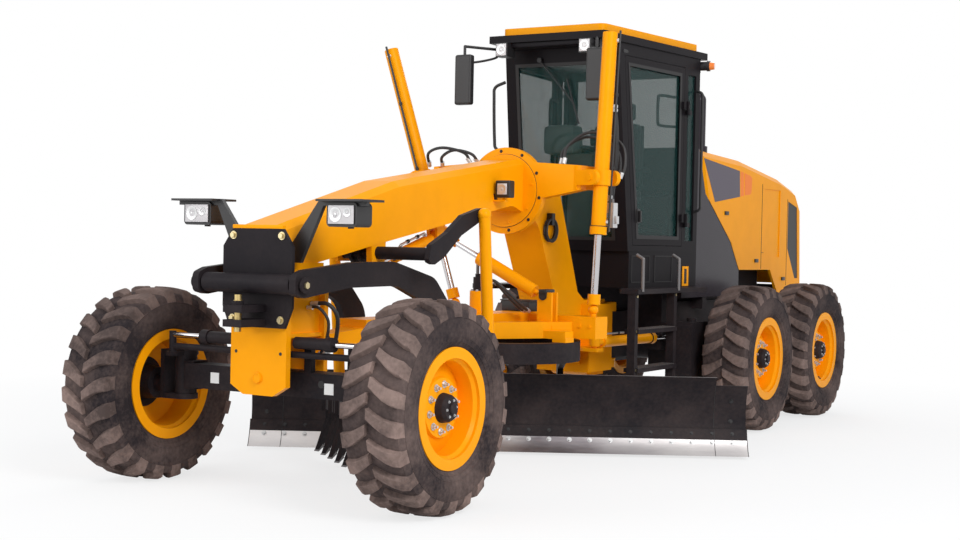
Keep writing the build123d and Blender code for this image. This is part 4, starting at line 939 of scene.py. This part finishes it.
class GRADER_OT_drawbar(Dressing):
    """Circle motor and its hoses, the valve box and the drawbar's fastenings"""
    bl_idname = "grader.drawbar"
    bl_label = "Drawbar"

    def build(self):
        drawbar = Matrix.Translation((5.7, 0, 0.98)) @ Matrix.Rotation(math.radians(-3.5), 4, "Z")
        motor = Shape("dark").bar((-1.85, 0, 0.296), (-1.85, 0, 0.405), 0.060, sides=32)
        motor.bar((-1.85, 0, 0.400), (-1.85, 0, 0.430), 0.045, sides=32)
        motor.box((-1.90, 0.03, 0.320), (-1.80, 0.095, 0.390), bevel=0.008)
        hose((-1.82, 0.09, 0.37), (-1.80, 0.16, 0.38), (-1.86, 0.24, 0.30), (-2.02, 0.27, 0.19),
             (-2.16, 0.24, 0.145), shape=motor)
        hose((-1.87, 0.09, 0.37), (-1.86, 0.14, 0.36), (-1.90, 0.20, 0.28), (-2.04, 0.22, 0.18),
             (-2.16, 0.20, 0.145), shape=motor)
        # valve box on the drawbar's rear beam
        motor.paint("plastic").box((-2.500, -0.150, 0.131), (-2.360, 0.110, 0.215), bevel=0.008)
        motor.box((-2.505, -0.165, 0.209), (-2.355, 0.125, 0.221), bevel=0.004)
        cap = Shape("plastic").bar((-2.300, 0.350, 0.268), (-2.180, 0.350, 0.268), 0.034, sides=24)
        cap.box((-2.305, 0.315, 0.280), (-2.175, 0.385, 0.318), bevel=0.008)
        ring = bolt_ring(drawbar @ Matrix.Translation((-1.85, 0, 0.2995)), 8, 0.073, 0.010, 0.2, "silver")
        bosses = [bolt_ring(drawbar @ facing((-2.518, y, 0.05), (-1, 0, 0)), 4, 0.045, 0.010, 0.8, "silver")
                  for y in (-0.62, 0.62)]
        rows = [bolt_row(drawbar @ facing((-2.339, y, 0.04), (1, 0, 0)), 2, 0.09, 0.011, "yellow")
                for y in (-0.64, 0.64)]
        dress("drawbar_motor", "drawbar", (motor.mesh("motor"), drawbar), (cap.mesh("cap"), drawbar), ring,
              *bosses, *rows)


TINE_STEP = 0.153


class GRADER_OT_scarifier(Dressing):
    """Pivot caps, worn tips and fastenings of the scarifier"""
    bl_idname = "grader.scarifier"
    bl_label = "Scarifier"

    def build(self):
        caps = Shape("dark")
        for y in (-1, 1):
            for finish, near, far, radius, sides in (("dark", 0.4315, 0.445, 0.050, 32),
                                                     ("zinc", 0.444, 0.456, 0.022, 6)):
                caps.paint(finish).bar((6.435, y * near, 1.368), (6.435, y * far, 1.368), radius, sides=sides)
        dress("pivot_caps", "front_frame", caps, slot="steel")
        tips, pins = Shape("worn"), Shape("shadow")
        for count in range(-4, 5):
            # the tines stand in a V, the middle one furthest ahead
            y = count * TINE_STEP
            front = 5.250 - abs(y) * 0.80
            turn = Matrix.Translation((0, y + 0.019, 0)) @ Matrix.Rotation(math.pi / 2, 4, "X")
            tips.plate([(front + 0.118, 0.148), (front + 0.105, 0.128), (front + 0.166, 0.096),
                        (front + 0.176, 0.1)], 0.038, turn)
            pins.bar((front + 0.006, y - 0.0375, 0.46), (front + 0.006, y + 0.0375, 0.46), 0.010, sides=10)
        dress("scarifier_tips", "scarifier", tips, pins, slot="steel")


SIDE_SLOPE = 0.140 / 1.440        # the cab's sides close in towards the front
SCREEN_LEAN = 0.215 / 1.740


def side_line(x):
    """Y of the cab's left side."""
    return 0.680 - (x - 1.060) * SIDE_SLOPE


def windscreen(z):
    """X of the windscreen's outer face."""
    return 2.235 + (z - 1.600) * SCREEN_LEAN


def on_side(points, y, x0=1.80, z0=2.40):
    """Frame on the cab's side, and (X, Z) points of the machine in it."""
    stretch = math.hypot(1, SIDE_SLOPE)
    place = facing((x0, y * side_line(x0), z0), (SIDE_SLOPE, y, 0))
    return place, [((x0 - x) * y * stretch, z - z0) for x, z in points]


def strip_frame(shape, points, width, thickness, place):
    """Flat frame along a closed outline, its corners mitred, in place's XY plane."""
    points = [Vector(p) for p in points]
    middle = sum(points, Vector((0, 0))) / len(points)
    inner = []
    for here, before, after in zip(points, points[-1:] + points, points[1:] + points[:1]):
        a, b = (here - before).normalized(), (after - here).normalized()
        bisect = (b - a).normalized()
        if bisect.dot(middle - here) < 0:
            bisect.negate()
        inner.append(here + bisect * width / max(0.3, math.sqrt((1 - a.dot(b)) / 2)))
    section = ((points, 0), (points, thickness), (inner, thickness), (inner, 0))
    shape.skin([[place @ Vector((*p, z)) for p in line] for line, z in section], closed=True)


SQUARENESS = 7                    # of a pad's corners; 2 would be a ball
CHANNEL_DEPTH, CHANNEL_WIDTH = 0.016, 0.05
WAIST = 0.035                     # share that a pad's edges draw in between its faces


def cushion(name, low, high, up, crown, channels):
    """Crowned pad: rounded all round, fuller in the middle, with sewn channels across its face."""
    low, high = Vector(low), Vector(high)
    middle, half = (low + high) / 2, (high - low) / 2
    bm = bmesh.new()
    bmesh.ops.create_cube(bm, size=2)
    bmesh.ops.subdivide_edges(bm, edges=bm.edges[:], cuts=23, use_grid_fill=True)
    axis, sign = "XYZ".index(up[-1]), -1 if up[0] == "-" else 1
    first, second = (k for k in range(3) if k != axis)
    for vert in bm.verts:
        p = vert.co / sum(abs(c) ** SQUARENESS for c in vert.co) ** (1 / SQUARENESS)
        u, v = p[first], p[second]
        swell, face = (1 - u ** 4) * (1 - v ** 4), max(0.0, p[axis] * sign)
        height = crown * swell * face
        for line, place in channels:
            off = ((u if line == "u" else v) - place) / CHANNEL_WIDTH
            height -= CHANNEL_DEPTH * face * math.exp(-off ** 2) * swell
        q = Vector([middle[k] + half[k] * p[k] for k in range(3)])
        q[axis] += sign * height
        for k, other in ((first, v), (second, u)):
            q[k] -= half[k] * WAIST * p[k] * (1 - abs(p[axis])) * (1 - abs(other) ** 3)
        vert.co = q
    mesh = bpy.data.meshes.new(name)
    bm.to_mesh(mesh)
    bm.free()
    mesh.materials.append(FINISH["cloth"])
    return mesh


class GRADER_OT_seat(Dressing):
    """Driver's seat: padded cushion and back, head rest, arm rests and base cover"""
    bl_idname = "grader.seat"
    bl_label = "Seat"

    def build(self):
        pads = (
            ("seat_cushion", (1.262, -0.245, 2.035), (1.715, 0.245, 2.150), "+Z", 0.022,
             (("v", -0.55), ("v", 0.55), ("u", -0.2))),
            ("seat_back", (1.268, -0.235, 2.175), (1.378, 0.235, 2.760), "+X", 0.020,
             (("u", -0.55), ("u", 0.55), ("v", 0.0), ("v", 0.5))),
            ("seat_head_rest", (1.215, -0.130, 2.785), (1.300, 0.130, 2.945), "+X", 0.012, (("u", 0.0),)),
        )
        for name, low, high, up, crown, channels in pads:
            mesh = cushion(name, low, high, up, crown, channels)
            pad = dress(name, "rear_frame", (mesh, STILL), slot="cloth", smooth=60)
        shell = Shape("plastic").box((1.215, -0.215, 2.20), (1.262, 0.215, 2.740), bevel=0.015)
        shell.box((1.270, -0.25, 1.985), (1.700, 0.25, 2.035), bevel=0.012)
        for y in (-0.06, 0.06):
            shell.bar((1.240, y, 2.72), (1.245, y, 2.82), 0.008)
        for side in (-1, 1):
            shell.bar((1.250, side * 0.262, 2.30), (1.400, side * 0.282, 2.315), 0.016)
            shell.box((1.330, side * 0.300 - 0.035, 2.305), (1.620, side * 0.300 + 0.035, 2.350), bevel=0.014)
        shell.box((1.380, -0.17, 1.665), (1.620, 0.17, 1.990), bevel=0.02)
        dress("seat_shell", "rear_frame", shell, replaces=["seat"], slot="plastic")


GASKET = 0.030                    # width of the rubber round a pane
BEACON_Z = 3.285


class GRADER_OT_cab(Dressing):
    """Cab outside: gaskets, wiper, handrails, visor, lamps, mirrors and decals; and the controls inside"""
    bl_idname = "grader.cab"
    bl_label = "Cab"

    def build(self):
        trim = Shape("shadow")
        screen = facing((windscreen(1.60) - 0.003, 0, 1.60), (1, 0, -SCREEN_LEAN))
        pane = [(-0.452, 0.090), (0.452, 0.090), (0.452, 1.604), (-0.452, 1.604)]
        strip_frame(trim, pane, GASKET, 0.007, screen)
        trim.paint("plastic")
        self.wiper(trim)
        self.rails(trim)
        # visor under the roof's front edge
        trim.paint("cab").box((2.505, -0.475, 3.300), (2.700, 0.475, 3.3395), bevel=0.008)
        dress("cab_trim", "rear_frame", trim, slot="black")
        self.lamps()
        self.decals()
        self.inside()
        for name, y in (("door_left", 1), ("door_right", -1)):
            self.door(name, y)

    def wiper(self, shape):
        """Motor cover over the windscreen, arm and blade."""
        foot = Vector((windscreen(3.21) + 0.020, -0.20, 3.215))
        tip = Vector((windscreen(2.86) + 0.022, 0.10, 2.86))
        shape.bar(foot, tip, 0.006, sides=8)
        shape.bar(foot - Vector((0.02, 0, 0)), foot + Vector((0.012, 0, 0)), 0.022, sides=16)
        across = Vector((0, 0.05, -0.19))
        low, high = tip - across, tip + across
        low.x, high.x = (windscreen(end.z) + 0.010 for end in (low, high))
        shape.bar(low, high, 0.007, sides=6)

    def rails(self, shape):
        """Handrails on the right front pillar and behind the doors, and each mirror's lower arm."""
        shape.tube([(2.415, -0.560, 3.045), (2.425, -0.655, 3.000), (2.425, -0.665, 2.90),
                    (2.405, -0.665, 2.56), (2.395, -0.650, 2.47), (2.345, -0.565, 2.42)], 0.014)
        rail = ((0.670, 3.05), (0.730, 3.02), (0.735, 2.90), (0.735, 2.1), (0.730, 1.99), (0.670, 1.96))
        for y in (-1, 1):
            shape.tube([(1.12, y * out, z) for out, z in rail], 0.012)
            shape.tube([(2.655, y * 0.47, 3.27), (2.72, y * 0.49, 3.215), (2.90, y * 0.585, 3.165),
                        (2.978, y * 0.615, 3.175)], 0.010)

    def lamps(self):
        """Work lamps, the beacon on the rear left corner, and the mirrors' glass."""
        lamps = Shape("plastic")
        for y in (0.34, -0.45):
            lamp(lamps, (2.64, y, 3.22), (2.772, y + 0.11, 3.335), 1, inset=0.008)
        for y in (0.56, -0.64):
            lamp(lamps, (0.958, y, 3.235), (1.06, y + 0.08, 3.33), -1, inset=0.008)
        for finish, start, end, radius, end_radius in (
            ("plastic", (1.02, 0.62), (1.00, 0.72), 0.040, 0.040),
            ("plastic", (1.00, 0.72), (0.995, 0.745), 0.047, 0.047),
            ("amber", (0.996, 0.74), (0.985, 0.785), 0.037, 0.031),
        ):
            lamps.paint(finish).bar((*start, BEACON_Z), (*end, BEACON_Z), radius, end_radius, sides=28)
        lamps.paint("mirror")
        for y in (-0.62, 0.62):
            lamps.box((2.9515, y - 0.068, 2.818), (2.9560, y + 0.068, 3.200), bevel=0.002)
        dress("cab_lamps", "rear_frame", lamps, slot="glass")

    def decals(self):
        """Blank decal on the cab's base, and the seams of its two panels."""
        decal = Shape("yellow")
        for y in (-1, 1):
            place, _ = on_side((), y, 1.250, 1.385)
            decal.paint("yellow").box((-0.055, -0.088, -0.001), (0.055, 0.088, 0.002), place=place)
            decal.paint("shadow").box((-0.022, -0.066, 0), (0.022, 0.066, 0.0026), place=place)
            for x in (2.020, 1.640):
                low, high, back, ahead = 1.335, 1.565, x - 0.15, x + 0.15
                place, outline = on_side([(back, low), (ahead, low), (ahead, high), (back, high)], y)
                strip_frame(decal, outline, 0.007, 0.002, place)
        dress("cab_decals", "rear_frame", decal, slot="plastic")

    def door(self, body, y):
        """Gasket, latch handle, and the two grab loops inside a door."""
        trim = Shape("shadow")
        place, outline = on_side([(1.387, 1.707), (2.103, 1.707), (2.294, 3.183), (1.387, 3.183)], y)
        strip_frame(trim, outline, GASKET, 0.004, place @ Matrix.Translation((0, 0, -0.001)))
        place, _ = on_side((), y, 2.085, 1.900)
        trim.paint("plastic").box((-0.028, -0.060, -0.002), (0.028, 0.060, 0.010), place=place, bevel=0.005)
        trim.box((-0.012, -0.050, 0.008), (0.012, 0.045, 0.034), place=place, bevel=0.006)
        high = [(1.400, 2.97), (1.600, 2.97), (1.640, 2.93), (1.640, 2.75), (1.600, 2.71), (1.400, 2.71)]
        trim.tube([(x, y * (side_line(x) - 0.085 + 0.030 * (x < 1.5)), z) for x, z in high], 0.013)
        low = [(1.480, 1.760), (1.500, 1.770), (1.850, 1.80), (1.980, 1.84), (2.000, 1.90), (2.000, 2.060)]
        trim.tube([(x, y * (side_line(x) - 0.095), z) for x, z in low], 0.012)
        dress(f"{body}_trim", body, trim, slot="black")

    def inside(self):
        """Console cover, monitor, levers on their boxes, pedals, mat, headliner and rear panel."""
        parts = Shape("console_cover").box((1.945, -0.330, 2.430), (2.150, -0.020, 2.690), bevel=0.055)
        parts.paint("grey").box((1.930, -0.150, 2.30), (2.110, 0.150, 2.44), bevel=0.03)
        parts.paint("plastic").box((2.120, 0.140, 2.500), (2.150, 0.330, 2.640), bevel=0.01)
        parts.bar((2.130, 0.235, 2.50), (2.130, 0.235, 2.30), 0.012)
        parts.box((1.150, -0.42, 1.651), (2.170, 0.42, 1.658))
        rows = []
        for side in (-1, 1):
            box, pedal = side * 0.255, side * 0.20
            parts.box((1.870, box - 0.075, 2.250), (2.020, box + 0.075, 2.350), bevel=0.02)
            parts.box((2.080, pedal - 0.045, 1.700), (2.150, pedal + 0.045, 1.790), bevel=0.01)
            parts.bar((2.115, pedal, 1.655), (2.115, pedal, 1.72), 0.012)
            place = Matrix.Translation((1.945, box, 2.345)) @ Matrix.Rotation(math.pi / 2, 4, "Z")
            for shape in (Shape("silver").bar((0, 0, 0), (0, 0, 0.105), 0.005, sides=8),
                          Shape("plastic").ball((0, 0, 0.115), 0.017, sides=12)):
                rows.append((repeat(shape, False, Count=4, Start=(-0.054, 0, 0), Step=(0.036, 0, 0)), place))
        dress("cab_controls", "rear_frame", parts, *rows, slot="plastic")
        liner = Shape("plastic").box((1.16, -0.56, 3.255), (2.38, 0.56, 3.288), bevel=0.01)
        liner.box((1.115, -0.45, 1.66), (1.20, 0.45, 2.10), bevel=0.02)
        dress("cab_liner", "rear_frame", liner, slot="plastic")


HOOD_SIDE, SEAM_SIDE = 0.5502, 0.5505       # Y that films and seams stand on
FILM = 0.0012
HOOD_FILMS = (
    # (X, Z) outlines: the dark decal, and the two stripes behind it
    ("decal", ((0.626, 2.479), (-0.270, 2.402), (-0.290, 2.150), (0.338, 2.078))),
    ("stripe", ((-0.296, 2.400), (-0.372, 2.392), (-0.392, 2.165), (-0.316, 2.153))),
    ("stripe", ((-0.398, 2.389), (-0.560, 2.366), (-0.605, 2.345), (-0.590, 2.200), (-0.560, 2.182),
                (-0.418, 2.168))),
)
HOOD_SEAMS = (
    # back, foot, front, top
    (-0.900, 1.435, -0.893, 2.300),
    (-1.640, 1.260, -1.6335, 2.170),
    (-0.960, 1.600, -0.890, 1.6045),
)
HOOD_LATCHES = ((-0.760, 1.520), (0.050, 1.980), (-1.540, 1.330))


class GRADER_OT_hood(Dressing):
    """Hood decals, seams, latches, grab rails and the tail lamps"""
    bl_idname = "grader.hood"
    bl_label = "Hood"

    def build(self):
        film = Shape("decal")
        for finish, outline in HOOD_FILMS:
            film.paint(finish)
            for y in (-HOOD_SIDE, HOOD_SIDE + FILM):
                place = Matrix.Translation((0, y, 0)) @ Matrix.Rotation(math.pi / 2, 4, "X")
                film.plate(outline, FILM, place)
        dress("hood_decals", "rear_frame", film, slot="plastic")
        seams = Shape("shadow")
        for edge in (-SEAM_SIDE, SEAM_SIDE):
            seams.paint("shadow")
            for back, foot, front, top in HOOD_SEAMS:
                seams.box((back, edge - 0.0015, foot), (front, edge + 0.0015, top))
            seams.paint("plastic")
            for x, z in HOOD_LATCHES:
                seams.box((x - 0.045, edge - 0.003, z - 0.018), (x + 0.045, edge + 0.012, z + 0.018),
                          bevel=0.005)
        seams.paint("shadow").box((-0.90, -0.485, 2.4385), (-0.894, 0.485, 2.4425))
        dress("hood_seams", "rear_frame", seams, slot="black")
        self.tail()

    def tail(self):
        """Tail lamps, a blank number plate and the grab rails beside the grille."""
        rear = Shape("red")
        for y in (-0.43, 0.43):
            rear.paint("plastic").box((-2.096, y - 0.075, 0.985), (-2.078, y + 0.075, 1.085), bevel=0.006)
            for finish, start, end in (("red", -0.060, 0.005), ("amber", 0.012, 0.060)):
                rear.paint(finish).box((-2.102, y + start, 1.000), (-2.094, y + end, 1.070), bevel=0.004)
        rear.paint("white").box((-2.084, -0.26, 1.100), (-2.0795, -0.02, 1.180))
        rear.paint("yellow")
        for y in (-0.485, 0.485):
            rear.tube([(-1.995, y, 2.02), (-2.050, y, 2.00), (-2.072, y, 1.90), (-2.060, y, 1.55),
                       (-2.015, y, 1.50)], 0.012)
        dress("tail_lamps", "rear_frame", rear, slot="plastic")


class GRADER_OT_platform(Dressing):
    """Tread strips of the steps, step bolts and filler caps"""
    bl_idname = "grader.platform"
    bl_label = "Platform"

    def build(self):
        parts = []
        for z in (0.635, 0.955):
            for y in (-0.725, 0.725):
                rib = Shape("worn").box((-0.006, -0.058, -0.002), (0.006, 0.058, 0.006))
                parts.append((repeat(rib, False, Count=17, Start=(1.735, 0, 0), Step=(0.043, 0, 0)),
                              Matrix.Translation((0, y, z))))
        caps = Shape("shadow")
        for y in (-1, 1):
            caps.paint("dark").bar((1.205, y * 0.715, 0.975), (1.205, y * 0.715, 1.010), 0.045, sides=28)
            caps.paint("zinc")
            for x in (1.69, 2.46):
                for z in (0.62, 0.94, 1.23):
                    caps.bar((x, y * 0.769, z), (x, y * 0.778, z), 0.011, sides=6)
        dress("step_treads", "rear_frame", *parts, caps, slot="steel")


# ---------------------------------------------------------------- stage
LAMPS = (
    # name, place, what it points at, width, watts
    ("key", (8.0, 10.5, 8.5), (0, 0, 0.8), 6.0, 1150),
    ("fill", (11.0, -5.0, 5.0), (1.0, 0, 1.0), 7.0, 330),
    ("back", (-9.0, -3.0, 8.5), (-1, 0, 1.0), 7.0, 380),
)
WHITE = (1, 1, 1)
SKY, SKY_STRENGTH = (0.90, 0.94, 1.0), 0.60
GROUND_WHITE = 0.72               # share of plain white in the ground near the machine
GROUND_FADE = (3.6, 4.0)          # distance at which that share starts to grow, and over how far
CAMERA_PLACE = (13.708, 6.136, 1.661)
CAMERA_TURN = (31.481, -1.101, 1.184)        # yaw, pitch, roll in degrees
CAMERA_LENS = 56.49


class GRADER_OT_stage(Dressing):
    """Floor, soft light and camera"""
    bl_idname = "grader.stage"
    bl_label = "Stage"

    def build(self):
        scene = bpy.context.scene
        stage = [bpy.data.objects.new("floor", self.floor())]
        for name, place, aim, size, power in LAMPS:
            data = bpy.data.lights.new(name, "AREA")
            data.shape, data.size, data.energy = "DISK", size, power
            light = bpy.data.objects.new(name, data)
            light.location = place
            light.rotation_euler = (Vector(place) - Vector(aim)).to_track_quat("Z", "Y").to_euler()
            stage.append(light)
        for one in stage:
            scene.collection.objects.link(one)
        self.sky(scene)
        self.camera(scene)
        scene.view_settings.view_transform = "Standard"

    def floor(self):
        """Pale ground that turns into the white of the backdrop away from the machine."""
        disc = bmesh.new()
        bmesh.ops.create_circle(disc, cap_ends=True, segments=96, radius=150)
        mesh = bpy.data.meshes.new("floor")
        disc.to_mesh(mesh)
        disc.free()
        ground = Finish("floor_finish", Base_Color=(0.88, 0.88, 0.88), Roughness=0.95, Specular_IOR_Level=0.1)
        reach = (ground.axis("X") ** 2.0 + ground.axis("Y") ** 2.0) ** 0.5
        share = reach.above(*GROUND_FADE) * (1 - GROUND_WHITE) + GROUND_WHITE
        white = ground.value("ShaderNodeEmission", None, {"Color": WHITE, "Strength": 1.0})
        blend = {0: share * ground.rays("Is Camera Ray", "Is Glossy Ray"),
                 1: Val(ground, ground.shader.outputs[0]), 2: white}
        ground.output("OUTPUT_MATERIAL", ground.value("ShaderNodeMixShader", None, blend))
        mesh.materials.append(ground.material)
        return mesh

    def sky(self, scene):
        """Even pale light; what sees it straight, in a reflection or through glass sees white."""
        scene.world = bpy.data.worlds.new("studio")
        scene.world.use_nodes = True
        tree = Tree(scene.world.node_tree)
        back = next(n for n in tree.tree.nodes if n.type == "BACKGROUND")
        tree.put(back.inputs["Color"], SKY)
        tree.put(back.inputs["Strength"], SKY_STRENGTH)
        blend = {0: tree.rays("Is Camera Ray", "Is Transmission Ray", "Is Glossy Ray"),
                 1: Val(tree, back.outputs[0]), 2: tree.value("ShaderNodeBackground", None, {"Color": WHITE})}
        tree.output("OUTPUT_WORLD", tree.value("ShaderNodeMixShader", None, blend))

    def camera(self, scene):
        yaw, pitch, roll = (math.radians(a) for a in CAMERA_TURN)
        ahead = Vector((-math.cos(yaw) * math.cos(pitch), -math.sin(yaw) * math.cos(pitch), math.sin(pitch)))
        right = ahead.cross(Vector((0, 0, 1))).normalized()
        up = right.cross(ahead)
        across = right * math.cos(roll) + up * math.sin(roll)
        upright = up * math.cos(roll) - right * math.sin(roll)
        data = bpy.data.cameras.new("camera")
        data.sensor_width, data.lens, data.clip_end = 36.0, CAMERA_LENS, 400
        camera = bpy.data.objects.new("camera", data)
        turn = Matrix((across, upright, -ahead)).transposed().to_4x4()
        camera.matrix_world = HOME @ Matrix.Translation(CAMERA_PLACE) @ turn
        scene.collection.objects.link(camera)
        scene.camera = camera


OPERATORS = (
    GRADER_OT_finishes, GRADER_OT_wheels, GRADER_OT_head, GRADER_OT_saddle, GRADER_OT_cylinders,
    GRADER_OT_blade, GRADER_OT_drawbar, GRADER_OT_scarifier, GRADER_OT_seat, GRADER_OT_cab, GRADER_OT_hood,
    GRADER_OT_platform, GRADER_OT_stage,
)


class GRADER_PT_panel(bpy.types.Panel):
    """Lists the grader's pieces"""
    bl_idname = "GRADER_PT_panel"
    bl_label = "Grader"
    bl_space_type = "VIEW_3D"
    bl_region_type = "UI"
    bl_category = "Grader"

    def draw(self, context):
        for group in (context.scene.grader_sizes, context.scene.grader_colours):
            for key in group.__annotations__:
                self.layout.prop(group, key)
        for operator in OPERATORS:
            self.layout.operator(operator.bl_idname)


CLASSES = (GraderSizes, GraderColours, *OPERATORS, GRADER_PT_panel)


def register():
    for one in CLASSES:
        bpy.utils.register_class(one)
    bpy.types.Scene.grader_sizes = bpy.props.PointerProperty(type=GraderSizes)
    bpy.types.Scene.grader_colours = bpy.props.PointerProperty(type=GraderColours)


def unregister():
    del bpy.types.Scene.grader_sizes
    del bpy.types.Scene.grader_colours
    for one in reversed(CLASSES):
        bpy.utils.unregister_class(one)


def main():
    register()
    for operator in OPERATORS:
        group, name = operator.bl_idname.split(".")
        getattr(getattr(bpy.ops, group), name)()


if __name__ == "__main__":
    main()
